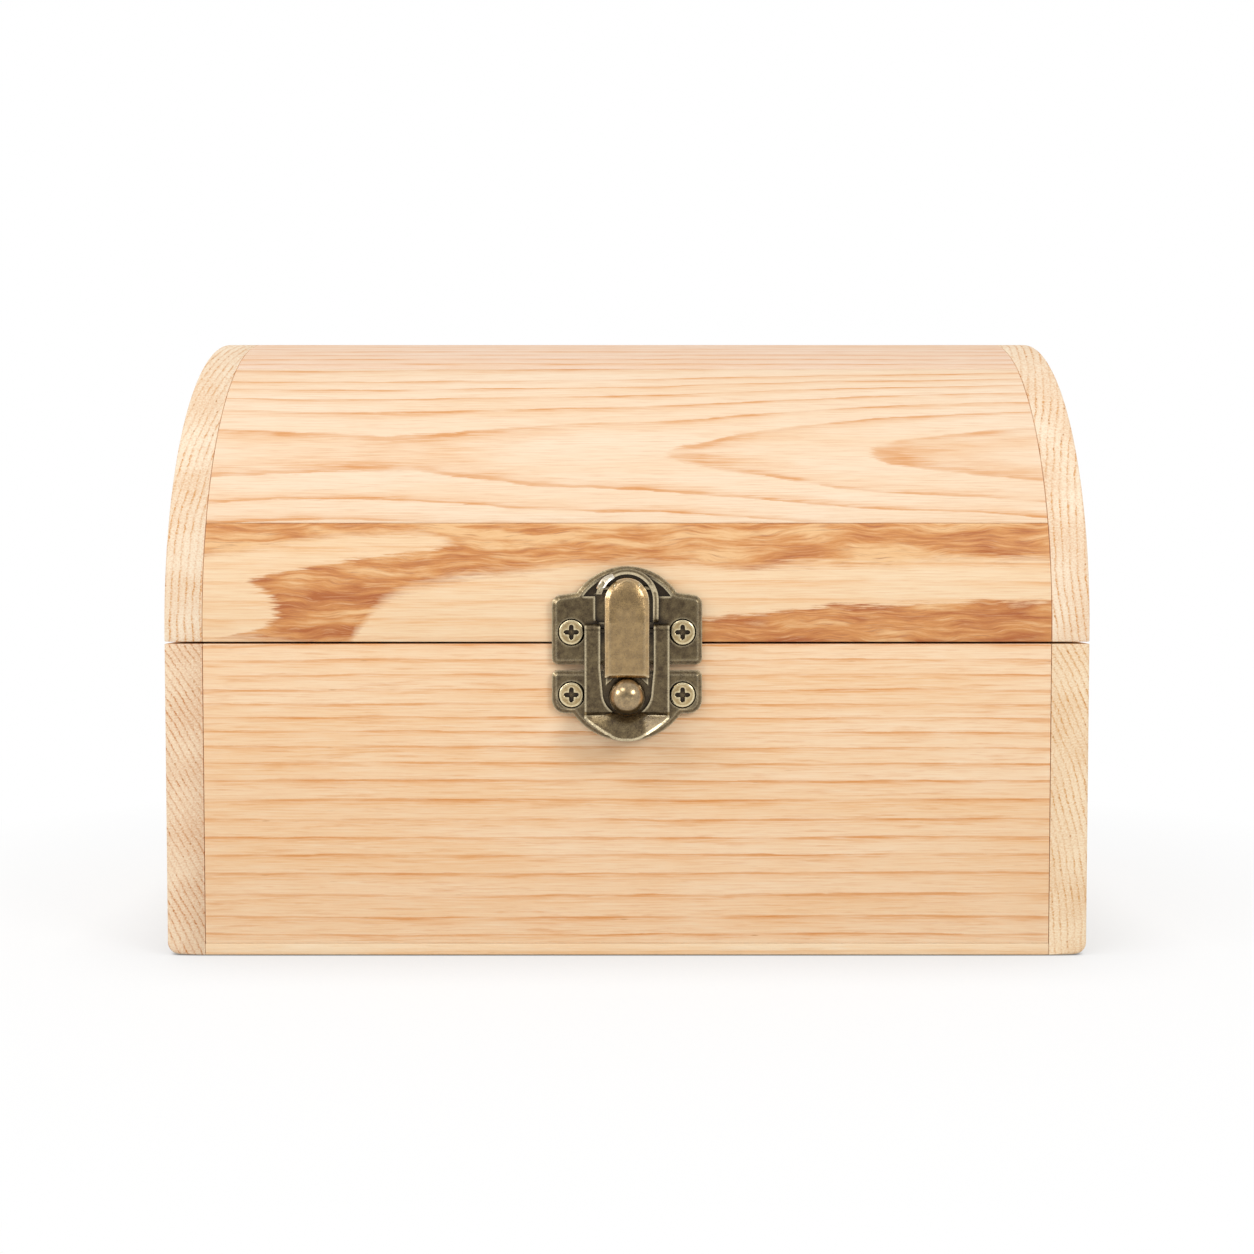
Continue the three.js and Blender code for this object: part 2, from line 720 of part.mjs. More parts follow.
function lever() {
  const outline = rounded([
    [-leverHalfWidth, -leverDrop, leverCornerRadius],
    [leverHalfWidth, -leverDrop, leverCornerRadius],
    ...arc(0, leverArcRise, leverHalfWidth, 0, Math.PI, roundSegments),
  ]);
  const outlines = [outline, outline, inset(outline, leverBevelWidth)];
  const tongue = loft(outlines, [leverBack, leverFront - leverBevelDepth, leverFront], onFront);

  // A thinner grip behind it that straddles the ball
  const grip = prism(rounded([
    [-gripHalfWidth, -gripTop, 0],
    [-gripHalfWidth, -gripShoulderDrop, 0],
    [-gripNotchHalfWidth, -leverDrop, 0],
    [gripNotchHalfWidth, -leverDrop, 0],
    [gripHalfWidth, -gripShoulderDrop, 0],
    [gripHalfWidth, -gripTop, 0],
  ]), leverBack - gripThickness, leverBack + leverBevelDepth, onFront);
  const bossRadius = leverPinRadius + pinGap + leverBossWall;
  const boss = barAcross(bossRadius, -leverBossHalfWidth, leverBossHalfWidth, -leverAxisOut, leverAxisRise);
  const bore = barAcross(leverPinRadius + pinGap, -plateHalfWidth, plateHalfWidth, -leverAxisOut, leverAxisRise);
  return joinAll([tongue, grip, boss]).subtract(bore);
}

function leverPin() {
  const across = collarOuterRadius ** 2 - (leverAxisRise - leverArcRise) ** 2;
  const half = Math.sqrt(across) - pinGap;
  return barAcross(leverPinRadius, -half, half, -leverAxisOut, leverAxisRise);
}

function bailPin() {
  const half = bailHalfWidth - bailPinInset;
  return barAcross(bailPinRadius, -half, half, -bailAxisOut, bailAxisRise);
}

// A hinge leaf about its own axis: up is 1 for the lid's leaf and -1 for the body's
function hingeLeaf(up) {
  const half = hingeWidth / 2;
  const back = -hingeAxisOut;
  const front = back + leafThickness;
  const leafStart = up * (knuckleRadius + leafKnuckleGap);
  const pieces = [block(-half, half, back, front, leafStart, up * leafHeight)];
  const middle = middleKnuckleWidth / 2;
  const spans = up > 0 ? [[-middle, middle]] : [[-half, -middle - knuckleEndGap], [middle + knuckleEndGap, half]];
  for (const [x0, x1] of spans) {
    pieces.push(block(x0, x1, back, front, 0, leafStart + up * leafKnuckleGap));
    pieces.push(barAcross(knuckleRadius, x0, x1, 0, 0));
  }
  const cutters = [barAcross(hingePinRadius + pinGap, -hingeWidth, hingeWidth, 0, 0)];
  for (const way of [-1, 1]) {
    cutters.push(countersink(hingeScrew, way * hingeScrewHalfSpacing, up * hingeScrewDistance, back, 1));
  }
  return cutAll(joinAll(pieces), cutters);
}

const group = new THREE.Group();

group.add(meshOf('front_panel', frontPanel(), pine));
group.add(meshOf('back_panel', backPanel(), pine));
group.add(meshOf('bottom_panel', bottomPanel(), thinPly));
for (const [name, side] of [['left', -1], ['right', 1]]) {
  group.add(meshOf(`${name}_end`, bodyEnd(side), paleEndGrain));
  group.add(meshOf(`lid_${name}_end`, lidEnd(side), paleEndGrain));
}
for (let number = 1; number <= staveCount; number += 1) {
  group.add(meshOf(`lid_stave_${number}`, stave(number), pine));
}

const onDatum = [0, frontFace, latchDatum];
group.add(meshOf('upper_plate', upperPlate(), bronze, onDatum));
group.add(meshOf('lower_plate', lowerPlate(), bronze, onDatum));
group.add(meshOf('ball_stud', ballStud(), wornBronze, onDatum));
group.add(meshOf('bail', bail(), bronze, onDatum));
group.add(meshOf('bail_pin', bailPin(), bronze, onDatum));
group.add(meshOf('lever', lever(), wornBronze, onDatum));
group.add(meshOf('lever_pin', leverPin(), bronze, onDatum));
for (const [i, name] of ['left', 'right'].entries()) {
  const [upperX, upperZ] = upperScrewPlaces[i];
  const [lowerX, lowerZ] = lowerScrewPlaces[i];
  const front = screw(latchScrew, -1);
  group.add(meshOf(`upper_screw_${name}`, front, screwBronze, [upperX, frontFace, upperZ]));
  group.add(meshOf(`lower_screw_${name}`, front, screwBronze, [lowerX, frontFace, lowerZ]));
}

const backScrew = screw(hingeScrew, 1);
for (const [name, side] of [['left', -1], ['right', 1]]) {
  const hinge = new THREE.Group();
  hinge.position.set(side * hingeHalfSpacing, backFace + hingeAxisOut, seamMiddle);
  const half = hingeWidth / 2;
  hinge.add(meshOf(`hinge_${name}_body_leaf`, hingeLeaf(-1), bronze));
  hinge.add(meshOf(`hinge_${name}_lid_leaf`, hingeLeaf(1), bronze));
  hinge.add(meshOf(`hinge_${name}_pin`, barAcross(hingePinRadius, -half, half, 0, 0), wornBronze));
  for (const [leaf, up] of [['body', -1], ['lid', 1]]) {
    for (const [number, way] of [[1, -1], [2, 1]]) {
      const place = [way * hingeScrewHalfSpacing, -hingeAxisOut, up * hingeScrewDistance];
      hinge.add(meshOf(`hinge_${name}_${leaf}_screw_${number}`, backScrew, screwBronze, place));
    }
  }
  group.add(hinge);
}

export default group;
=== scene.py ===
import math

import bpy
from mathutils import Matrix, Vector


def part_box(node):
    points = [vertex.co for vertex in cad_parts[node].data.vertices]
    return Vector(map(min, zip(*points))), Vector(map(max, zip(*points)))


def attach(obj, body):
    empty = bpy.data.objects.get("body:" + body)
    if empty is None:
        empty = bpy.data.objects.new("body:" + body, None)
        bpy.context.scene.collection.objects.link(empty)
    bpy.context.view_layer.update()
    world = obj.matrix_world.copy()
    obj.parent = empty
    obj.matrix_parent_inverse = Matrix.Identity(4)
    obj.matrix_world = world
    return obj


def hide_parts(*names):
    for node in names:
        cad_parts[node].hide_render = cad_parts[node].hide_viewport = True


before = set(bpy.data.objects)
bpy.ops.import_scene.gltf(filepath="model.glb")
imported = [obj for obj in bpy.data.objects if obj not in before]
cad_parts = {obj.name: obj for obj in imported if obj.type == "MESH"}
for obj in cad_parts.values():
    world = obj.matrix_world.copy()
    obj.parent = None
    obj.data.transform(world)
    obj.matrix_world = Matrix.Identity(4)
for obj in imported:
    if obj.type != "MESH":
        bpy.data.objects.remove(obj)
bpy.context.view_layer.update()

# The camera stands close in front of the chest, a little above the seam,
# and looks slightly down, as the photograph was taken.
camera_distance = 0.374
camera_height = 0.0736
camera_looks_down = math.radians(2.37)
camera_turn = (math.radians(90) - camera_looks_down, 0, 0)
bpy.ops.object.camera_add(location=(0, -camera_distance, camera_height), rotation=camera_turn)
camera = bpy.context.object
camera.data.lens = 49.2
bpy.context.scene.camera = camera
bpy.context.scene.view_settings.view_transform = "Standard"


# A plain white table top and an even white surround. The surround gives a soft light from all
# sides and is seen as plain white. Metal sees it dimmer on the side where the room is.
def feed(tree, kind, *given, out=0, **settings):
    """Adds a node, sets it up and feeds its inputs in order, with sockets or plain values."""
    step = tree.nodes.new("ShaderNode" + kind)
    for setting, value in settings.items():
        setattr(step, setting, value)
    for place, value in enumerate(given):
        if isinstance(value, bpy.types.NodeSocket):
            tree.links.new(value, step.inputs[place])
        elif value is not None:
            step.inputs[place].default_value = value
    return step.outputs[out]


def maths(tree, operation, *given):
    """One sum on sockets or numbers."""
    return feed(tree, "Math", *given, operation=operation)


def spread(tree, value, low, high, to_low=0.0, to_high=1.0):
    """A value moved from one range to another, and held inside it."""
    return feed(tree, "MapRange", value, low, high, to_low, to_high)


def new_finish(name):
    """A new material, with its tree of nodes and its main shader."""
    finish = bpy.data.materials.new(name)
    finish.use_nodes = True
    return finish, finish.node_tree, finish.node_tree.nodes["Principled BSDF"]


def seen_directly(tree):
    """1 for rays that show the surround itself: to the camera, in metal and through glass."""
    rays = tree.nodes.new("ShaderNodeLightPath")
    shiny = maths(tree, "MAXIMUM", rays.outputs["Is Glossy Ray"], rays.outputs["Is Transmission Ray"])
    return maths(tree, "MAXIMUM", rays.outputs["Is Camera Ray"], shiny)


surround_light = 0.54
room_light = 0.5
room_from = 0.5
room_full_at = 0.93
surround = bpy.data.worlds.new("white surround")
surround.use_nodes = True
bpy.context.scene.world = surround
surround_tree = surround.node_tree
surround_way = surround_tree.nodes.new("ShaderNodeSeparateXYZ")
surround_tree.links.new(feed(surround_tree, "TexCoord", out=0), surround_way.inputs[0])
surround_ahead = maths(surround_tree, "MULTIPLY", surround_way.outputs["Y"], -1.0)
surround_room = spread(surround_tree, surround_ahead, room_from, room_full_at, 1.0, room_light)
surround_rays = surround_tree.nodes.new("ShaderNodeLightPath")
surround_in_metal = surround_rays.outputs["Is Glossy Ray"]
surround_seen = spread(surround_tree, surround_in_metal, 0.0, 1.0, 1.0, surround_room)
surround_to_eye = seen_directly(surround_tree)
surround_shown = spread(surround_tree, surround_to_eye, 0.0, 1.0, surround_light, surround_seen)
surround_tree.links.new(surround_shown, surround_tree.nodes["Background"].inputs["Strength"])
surround_tree.nodes["Background"].inputs["Color"].default_value = (1, 1, 1, 1)

table_size = 12.0
table_drop = 0.0002
table_white_from = 0.09
table_white_at = 0.2
table_bounce = 0.72
table_seen_grey = 0.25
contact_reach = 0.025
contact_open = (0.5, 1.0)
contact_open_glow = (0.615, 0.755)
contact_under = (0.2, 0.5)
contact_under_glow = (0.1, 1.0)
bpy.ops.mesh.primitive_plane_add(size=table_size, location=(0, 0, -table_drop))
table = bpy.context.object
table.name = "table_top"
table_paint, table_tree, table_shader = new_finish("white table paint")
table_shader.inputs["Roughness"].default_value = 0.9
table_shader.inputs["Specular IOR Level"].default_value = 0.0
table_shown = seen_directly(table_tree)
table_grey = spread(table_tree, table_shown, 0.0, 1.0, table_bounce, table_seen_grey)
table_tree.links.new(table_grey, table_shader.inputs["Base Color"])
# The table's glow is dimmed by ambient occlusion close to the chest: a painted contact shadow.
table_touch = feed(table_tree, "AmbientOcclusion", None, contact_reach, samples=16, out=1)
table_near = spread(table_tree, table_touch, *contact_open, *contact_open_glow)
table_under = spread(table_tree, table_touch, *contact_under, *contact_under_glow)
table_shade = maths(table_tree, "MULTIPLY", table_near, table_under)
table_glow = maths(table_tree, "MULTIPLY", table_shown, table_shade)
table_tree.links.new(table_glow, table_shader.inputs["Emission Strength"])
table_shader.inputs["Emission Color"].default_value = (1, 1, 1, 1)
table_reach = feed(table_tree, "VectorMath", feed(table_tree, "TexCoord", out=3), operation="LENGTH", out=1)
table_far = spread(table_tree, table_reach, table_white_from, table_white_at)
table_white = feed(table_tree, "Emission", (1, 1, 1, 1), 1.0)
table_mix = table_tree.nodes.new("ShaderNodeMixShader")
table_tree.links.new(maths(table_tree, "MULTIPLY", table_far, table_shown), table_mix.inputs[0])
table_tree.links.new(table_shader.outputs[0], table_mix.inputs[1])
table_tree.links.new(table_white, table_mix.inputs[2])
table_tree.links.new(table_mix.outputs[0], table_tree.nodes["Material Output"].inputs["Surface"])
table.data.materials.append(table_paint)

# Two soft boxes stand at the sides, in front of the chest and above it, and a smaller one
# hangs higher at the left. They light the wood evenly and draw the metal's edges.
lamp_aim = Vector((0, 0, 0.055))
lamp_range = 0.9
for lamp_name, lamp_turn, lamp_rise, lamp_size, lamp_power in (
    ("left soft box", -64, 24, 0.30, 1.9),
    ("right soft box", 42, 28, 0.30, 2.5),
    ("high soft box", -36, 46, 0.26, 0.95),
):
    turn = math.radians(lamp_turn)
    rise = math.radians(lamp_rise)
    towards = Vector((math.sin(turn) * math.cos(rise), -math.cos(turn) * math.cos(rise), math.sin(rise)))
    bpy.ops.object.light_add(type="AREA", location=lamp_aim + towards * lamp_range)
    lamp = bpy.context.object
    lamp.name = lamp_name
    lamp.rotation_euler = towards.to_track_quat("Z", "Y").to_euler()
    lamp.data.size = lamp_size
    lamp.data.energy = lamp_power
    lamp.visible_camera = False


# The front board is a sanded pine board with its grain across the box. It is glued between
# the end boards, and its edges are just broken with sandpaper.
def tone(code):
    """A colour from its six-figure code, as the shader takes it."""
    parts = [int(code[place:place + 2], 16) / 255 for place in (0, 2, 4)]
    plain = [part / 12.92 if part <= 0.04045 else ((part + 0.055) / 1.055) ** 2.4 for part in parts]
    return (*plain, 1.0)


def blend(tree, share, first, second):
    """A colour between two colours."""
    step = tree.nodes.new("ShaderNodeMix")
    step.data_type = "RGBA"
    for place, value in ((0, share), (6, first), (7, second)):
        if isinstance(value, bpy.types.NodeSocket):
            tree.links.new(value, step.inputs[place])
        else:
            step.inputs[place].default_value = value
    return step.outputs[2]


def curve_through(tree, value, shares):
    """A smooth curve through given points between 0 and 1."""
    step = tree.nodes.new("ShaderNodeFloatCurve")
    tree.links.new(value, step.inputs["Value"])
    points = step.mapping.curves[0].points
    for place, (across, up) in enumerate(shares):
        if place < 2:
            points[place].location = (across, up)
        else:
            points.new(across, up)
    step.mapping.update()
    return step.outputs[0]


def drawn_out_noise(tree, grain, along, across, deep, detail=3.0, rough=0.5):
    """Noise with its own length along the grain, across it and into the board, in metres."""
    scaled = feed(tree, "Mapping", grain, None, None, (1 / along, 1 / across, 1 / deep))
    return feed(tree, "TexNoise", scaled, None, 1.0, detail, rough)


def shift_by(tree, noise, reach):
    """Noise made into a shift to either side."""
    return maths(tree, "MULTIPLY", maths(tree, "SUBTRACT", noise, 0.5), reach)


def parts_of(tree, vector):
    """The three parts of a vector."""
    step = tree.nodes.new("ShaderNodeSeparateXYZ")
    tree.links.new(vector, step.inputs[0])
    return step.outputs[0], step.outputs[1], step.outputs[2]


def object_place(tree):
    """The place on the piece, in metres."""
    return feed(tree, "TexCoord", out=3)


def emboss(tree, shader, height, strength, depth):
    """Gives a finish a fine relief."""
    relief = tree.nodes.new("ShaderNodeBump")
    relief.inputs["Strength"].default_value = strength
    relief.inputs["Distance"].default_value = depth
    tree.links.new(height, relief.inputs["Height"])
    tree.links.new(relief.outputs["Normal"], shader.inputs["Normal"])


def canals(tree, grain, spaces, edge, chosen, share, in_ring):
    """Resin canals: a dark dot or thread in some of the wood's cells."""
    canal = tree.nodes.new("ShaderNodeTexVoronoi")
    canal.inputs["Scale"].default_value = 1.0
    cells = feed(tree, "Mapping", grain, None, None, [1 / space for space in spaces])
    tree.links.new(cells, canal.inputs["Vector"])
    near = spread(tree, canal.outputs["Distance"], *edge, 1.0, 0.0)
    some = spread(tree, parts_of(tree, canal.outputs["Color"])[0], *chosen, 0.0, share)
    return maths(tree, "MULTIPLY", near, maths(tree, "MULTIPLY", some, in_ring))


late_wood_shares = ((0, 0), (0.45, 0.02), (0.72, 0.14), (0.88, 0.55), (0.95, 1), (1, 0))
fibre_length = 0.009
fibre_width = 0.0003
ring_fray = 0.0009
canal_spaces = (0.006, 0.00075, 0.00075)
relief_depth = 0.0001


def pine(name, read_grain, count_rings, pale="fbdbb5", line="dc8f45", drift="f3c189", drift_share=0.5,
         line_share=0.85, streak_share=0.4, canal_share=0.5, wander=(0.0005, 0.07), figure=None):
    """Unfinished pine: yearly rings, fibres, resin canals and a slow drift of tone."""
    finish, tree, shader = new_finish(name)
    grain = read_grain(tree)

    # Rings wander a little, fray along the fibres, and are strong in one place and faint in another
    slow = drawn_out_noise(tree, grain, wander[1], 0.03, 0.03, 2.0)
    quick = drawn_out_noise(tree, grain, 0.012, 0.004, 0.004, 2.0)
    fibre = drawn_out_noise(tree, grain, fibre_length, fibre_width, fibre_width, 4.0, 0.65)
    bend = shift_by(tree, slow, wander[0] * 4)
    ripple = shift_by(tree, quick, wander[0] * 0.9)
    fray = shift_by(tree, fibre, ring_fray)
    years = count_rings(tree, grain, maths(tree, "ADD", fray, maths(tree, "ADD", bend, ripple)))
    ring = curve_through(tree, maths(tree, "FRACT", years), late_wood_shares)
    strength = spread(tree, drawn_out_noise(tree, grain, 0.022, 0.0030, 0.0030, 3.0), 0.36, 0.62, 0.2, 1.0)
    late = maths(tree, "MULTIPLY", ring, strength)

    # Tone drifts over the board, and fine fibres and short streaks run through it all
    patch = spread(tree, drawn_out_noise(tree, grain, 0.05, 0.007, 0.007), 0.35, 0.68, 0.0, drift_share)
    base = blend(tree, patch, tone(pale), tone(drift))
    halo = spread(tree, maths(tree, "FRACT", years), 0.45, 0.9, 0.0, 0.35)
    base = blend(tree, maths(tree, "MULTIPLY", halo, strength), base, tone("f3b471"))
    colour = blend(tree, maths(tree, "MULTIPLY", late, line_share), base, tone(line))
    colour = blend(tree, spread(tree, fibre, 0.5, 0.75, 0.0, 0.35), colour, tone(line))
    colour = blend(tree, spread(tree, fibre, 0.5, 0.3, 0.0, 0.3), colour, tone("fff0d8"))
    streak = drawn_out_noise(tree, grain, 0.010, 0.0007, 0.0007, 3.0, 0.6)
    colour = blend(tree, spread(tree, streak, 0.56, 0.74, 0.0, streak_share), colour, tone(line))

    in_ring = spread(tree, ring, 0.0, 0.5, 0.25, 1.0)
    thread = canals(tree, grain, canal_spaces, (0.05, 0.17), (0.7, 0.95), canal_share, in_ring)
    if figure:
        colour = figure(tree, grain, colour)
    colour = blend(tree, thread, colour, tone("b07238"))
    tree.links.new(colour, shader.inputs["Base Color"])

    rough = spread(tree, drawn_out_noise(tree, grain, 0.02, 0.0012, 0.0012), 0.3, 0.7, 0.56, 0.72)
    tree.links.new(rough, shader.inputs["Roughness"])
    shader.inputs["Specular IOR Level"].default_value = 0.3
    height = maths(tree, "SUBTRACT", fibre, maths(tree, "MULTIPLY", thread, 0.8))
    emboss(tree, shader, height, 0.25, relief_depth)
    return finish


def grain_across(tree):
    """Grain along the width of the box: along, up and inwards."""
    across, deep, up = parts_of(tree, object_place(tree))
    return feed(tree, "CombineXYZ", across, up, deep)


def block(name, low, high):
    """A plain block between two corners."""
    bpy.ops.object.select_all(action="DESELECT")
    bpy.ops.mesh.primitive_cube_add(size=1, location=(low + high) / 2, scale=high - low)
    piece = bpy.context.object
    piece.name = name
    bpy.ops.object.transform_apply(location=True, rotation=True, scale=True)
    return piece


def break_edges(piece, width, sharper_than=40, smooth_below=40):
    """Breaks the sharp edges of the piece at hand, as sandpaper does."""
    edges = piece.modifiers.new("broken edges", "BEVEL")
    edges.width = width
    edges.segments = 2
    edges.angle_limit = math.radians(sharper_than)
    bpy.ops.object.modifier_apply(modifier=edges.name)
    bpy.ops.object.shade_smooth_by_angle(angle=math.radians(smooth_below))


def board(name, low, high, ease):
    """A board between two corners, with all its edges broken."""
    piece = block(name, low, high)
    break_edges(piece, ease)
    return piece


def dress(piece, finish, slot, body, *nodes):
    """Gives a piece its finish, the body it moves with and the nodes it stands for. The slot is not used."""
    piece.data.materials.clear()
    piece.data.materials.append(finish)
    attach(piece, body)
    if nodes:
        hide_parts(*nodes)


edge_ease = 0.0002
front_low, front_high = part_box("front_panel")
front_ring_shares = ((0, 0), (0.07, 0.105), (0.2, 0.21), (0.27, 0.263), (0.44, 0.42), (0.565, 0.526),
                     (0.72, 0.684), (0.81, 0.789), (1, 1))
front_ring_count = 19.0
front_ring_lean = 0.6


def front_rings(tree, grain, wander):
    _, up, deep = parts_of(tree, grain)
    inwards = maths(tree, "SUBTRACT", deep, front_low.y)
    leaning = maths(tree, "MULTIPLY_ADD", inwards, front_ring_lean, up)
    moved = maths(tree, "ADD", leaning, wander)
    share = maths(tree, "DIVIDE", moved, front_high.z)
    return maths(tree, "MULTIPLY", curve_through(tree, share, front_ring_shares), front_ring_count)


front_pine = pine("front board pine", grain_across, front_rings, canal_share=0.6)
front_board = board("front_board", front_low, front_high, edge_ease)
dress(front_board, front_pine, "pine_board", "chest_body", "front_panel")

# The back board is cut and glued in between the end boards as the front one is. It comes
# from another stretch of the plank, with narrower rings.
back_low, back_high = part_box("back_panel")
back_ring_width = 0.0031
back_ring_lean = 0.8


def back_rings(tree, grain, wander):
    _, up, deep = parts_of(tree, grain)
    moved = maths(tree, "ADD", maths(tree, "MULTIPLY_ADD", deep, back_ring_lean, up), wander)
    return maths(tree, "DIVIDE", moved, back_ring_width)


back_pine = pine("back board pine", grain_across, back_rings, wander=(0.0009, 0.06))
back_board = board("back_board", back_low, back_high, edge_ease)
dress(back_board, back_pine, "pine_board", "chest_body", "back_panel")

# The bottom is a thin sheet glued under the front and back boards. Its front edge
# shows as a fine paler strip along the foot of the box.
base_low, base_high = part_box("bottom_panel")
base_ring_width = 0.0065
base_ring_lean = 2.0
base_joint = 0.00008
base_ease = 0.00006


def base_rings(tree, grain, wander):
    _, up, deep = parts_of(tree, grain)
    moved = maths(tree, "ADD", maths(tree, "MULTIPLY_ADD", up, base_ring_lean, deep), wander)
    return maths(tree, "DIVIDE", moved, base_ring_width)


base_pine = pine("bottom sheet pine", grain_across, base_rings, pale="f6dcb8", line="e9bd8c", line_share=0.6,
                 wander=(0.0015, 0.09))
base_sheet = board("base_sheet", base_low, base_high + Vector((0, 0, base_joint)), base_ease)
dress(base_sheet, base_pine, "thin_panel", "chest_body", "bottom_panel")


# The end boards run the full depth with their grain from front to back, so end grain shows
# at the front. Their outer edges are rounded over at the front, the back and the foot.
def grain_front_to_back(tree):
    """Grain along the depth of the box: along, up and across."""
    across, deep, up = parts_of(tree, object_place(tree))
    return feed(tree, "CombineXYZ", deep, up, across)


def end_rings(centre_x, centre_z, ring_width):
    """Rings about a far centre line that runs from front to back."""
    def count(tree, grain, wander):
        _, up, across = parts_of(tree, grain)
        from_centre = feed(tree, "CombineXYZ", maths(tree, "SUBTRACT", across, centre_x), 0.0,
                           maths(tree, "SUBTRACT", up, centre_z))
        reach = feed(tree, "VectorMath", from_centre, operation="LENGTH", out=1)
        return maths(tree, "DIVIDE", maths(tree, "ADD", reach, wander), ring_width)
    return count


end_ring_shares = ((0, 0.15), (0.3, 0.0), (0.62, 0.12), (0.8, 0.7), (0.9, 1), (1, 0.15))
end_canal_spaces = (0.02, 0.0011, 0.0008)


def end_grain(name, count_rings, pale, line):
    """Sawn end grain: rings in rows of dots and dashes, and the fuzz of cut fibres."""
    finish, tree, shader = new_finish(name)
    grain = grain_front_to_back(tree)
    bend = drawn_out_noise(tree, grain, 0.3, 0.012, 0.012, 2.0)
    shake = drawn_out_noise(tree, grain, 0.3, 0.0009, 0.0009, 2.0)
    wander = maths(tree, "ADD", shift_by(tree, bend, 0.0016), shift_by(tree, shake, 0.0005))
    ring = curve_through(tree, maths(tree, "FRACT", count_rings(tree, grain, wander)), end_ring_shares)
    strong = spread(tree, drawn_out_noise(tree, grain, 0.3, 0.005, 0.008, 2.0), 0.38, 0.62, 0.35, 1.0)
    dots = spread(tree, drawn_out_noise(tree, grain, 0.02, 0.0004, 0.0004, 2.0, 0.6), 0.40, 0.56, 0.3, 1.0)
    late = maths(tree, "MULTIPLY", ring, maths(tree, "MULTIPLY", strong, dots))
    cloud = spread(tree, drawn_out_noise(tree, grain, 0.05, 0.009, 0.009), 0.35, 0.65, 0.0, 0.3)
    colour = blend(tree, cloud, tone(pale), tone(line))
    colour = blend(tree, late, colour, tone(line))
    fuzz = drawn_out_noise(tree, grain, 0.02, 0.00028, 0.0004, 3.0, 0.7)
    colour = blend(tree, spread(tree, fuzz, 0.5, 0.7, 0.0, 0.4), colour, tone(line))
    colour = blend(tree, spread(tree, fuzz, 0.5, 0.32, 0.0, 0.6), colour, tone("fff3dc"))
    in_ring = spread(tree, ring, 0.15, 0.6, 0.1, 1.0)
    dot = canals(tree, grain, end_canal_spaces, (0.14, 0.24), (0.4, 0.65), 0.75, in_ring)
    tree.links.new(blend(tree, dot, colour, tone("bb7a3a")), shader.inputs["Base Color"])
    shader.inputs["Roughness"].default_value = 0.75
    shader.inputs["Specular IOR Level"].default_value = 0.2
    emboss(tree, shader, maths(tree, "SUBTRACT", fuzz, dot), 0.15, relief_depth)
    return finish


def select_edges(piece, wanted):
    """Selects, in edit mode, the edges for which wanted(one end, other end) is true."""
    bpy.ops.mesh.select_mode(type="EDGE")
    bpy.ops.mesh.select_all(action="DESELECT")
    bpy.ops.object.mode_set(mode="OBJECT")
    spots = piece.data.vertices
    for edge in piece.data.edges:
        one, other = (spots[number].co for number in edge.vertices)
        edge.select = wanted(one, other)
    bpy.ops.object.mode_set(mode="EDIT")


arris_radius = 0.0007
foot_radius = 0.0022
end_ring_width = 0.00125
touching = 1e-5
for side_name, side, ring_centre, pale, line in (
    ("left", -1, (-0.342, -0.121), "f9dfbe", "cc8444"),
    ("right", 1, (-0.0295, -0.002), "f9e1be", "d4964c"),
):
    side_pine = end_grain(f"{side_name} end pine", end_rings(*ring_centre, end_ring_width), pale, line)
    end_low, end_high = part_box(f"{side_name}_end")
    outer = end_high.x if side > 0 else end_low.x
    end_board = block(f"{side_name}_end_board", end_low, end_high)
    bpy.ops.object.mode_set(mode="EDIT")
    select_edges(end_board, lambda one, other: max(abs(one.x - outer), abs(other.x - outer)) < touching
                 and max(one.z, other.z) < end_low.z + touching)
    bpy.ops.mesh.bevel(offset=foot_radius, segments=8, affect="EDGES")
    select_edges(end_board, lambda one, other: max(abs(one.x - outer), abs(other.x - outer)) < foot_radius
                 and abs(one.y - other.y) < touching and min(one.z, other.z) < end_high.z - touching)
    bpy.ops.mesh.bevel(offset=arris_radius, segments=4, affect="EDGES")
    bpy.ops.object.mode_set(mode="OBJECT")
    break_edges(end_board, edge_ease)
    dress(end_board, side_pine, "pine_end", "chest_body", f"{side_name}_end")


# The lid is a half barrel of five staves, flat inside and planed round outside, glued edge
# to edge. The first stave holds a band and two tongues of darker heartwood.
lid_low, lid_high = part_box("lid_left_end")
lid_foot = lid_low.z
lid_radius = lid_high.y
lid_centre = lid_high.z - lid_radius
stave_half_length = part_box("lid_stave_1")[1].x
stave_wall = 0.006
foot_wall = 0.007
stave_ease = 0.00012
lowest_stave_angle = math.radians(20.3)
stave_count = 5
upper_stave_angle = (math.pi - lowest_stave_angle) / (stave_count - 1)
glue_half_gap = 0.00003


def start_at(name, place):
    """A new piece in edit mode that is one selected point."""
    bpy.ops.object.select_all(action="DESELECT")
    bpy.ops.mesh.primitive_plane_add(size=0.001, location=place)
    piece = bpy.context.object
    piece.name = name
    bpy.ops.object.transform_apply(location=True, rotation=True, scale=True)
    bpy.ops.object.mode_set(mode="EDIT")
    bpy.ops.mesh.select_mode(type="VERT")
    bpy.ops.mesh.select_all(action="SELECT")
    bpy.ops.mesh.merge(type="CENTER")
    return piece


def draw_by(*move):
    """Draws what is selected on by a move."""
    bpy.ops.mesh.extrude_region_move(TRANSFORM_OT_translate={"value": move})


def fill_outline():
    """Joins the ends of what was drawn and fills the outline with a face."""
    bpy.ops.mesh.select_all(action="SELECT")
    bpy.ops.mesh.remove_doubles(threshold=1e-7)
    bpy.ops.mesh.edge_face_add()


def turn_faces_out():
    """Turns all the faces outwards and leaves edit mode."""
    bpy.ops.mesh.select_all(action="SELECT")
    bpy.ops.mesh.normals_make_consistent(inside=False)
    bpy.ops.object.mode_set(mode="OBJECT")


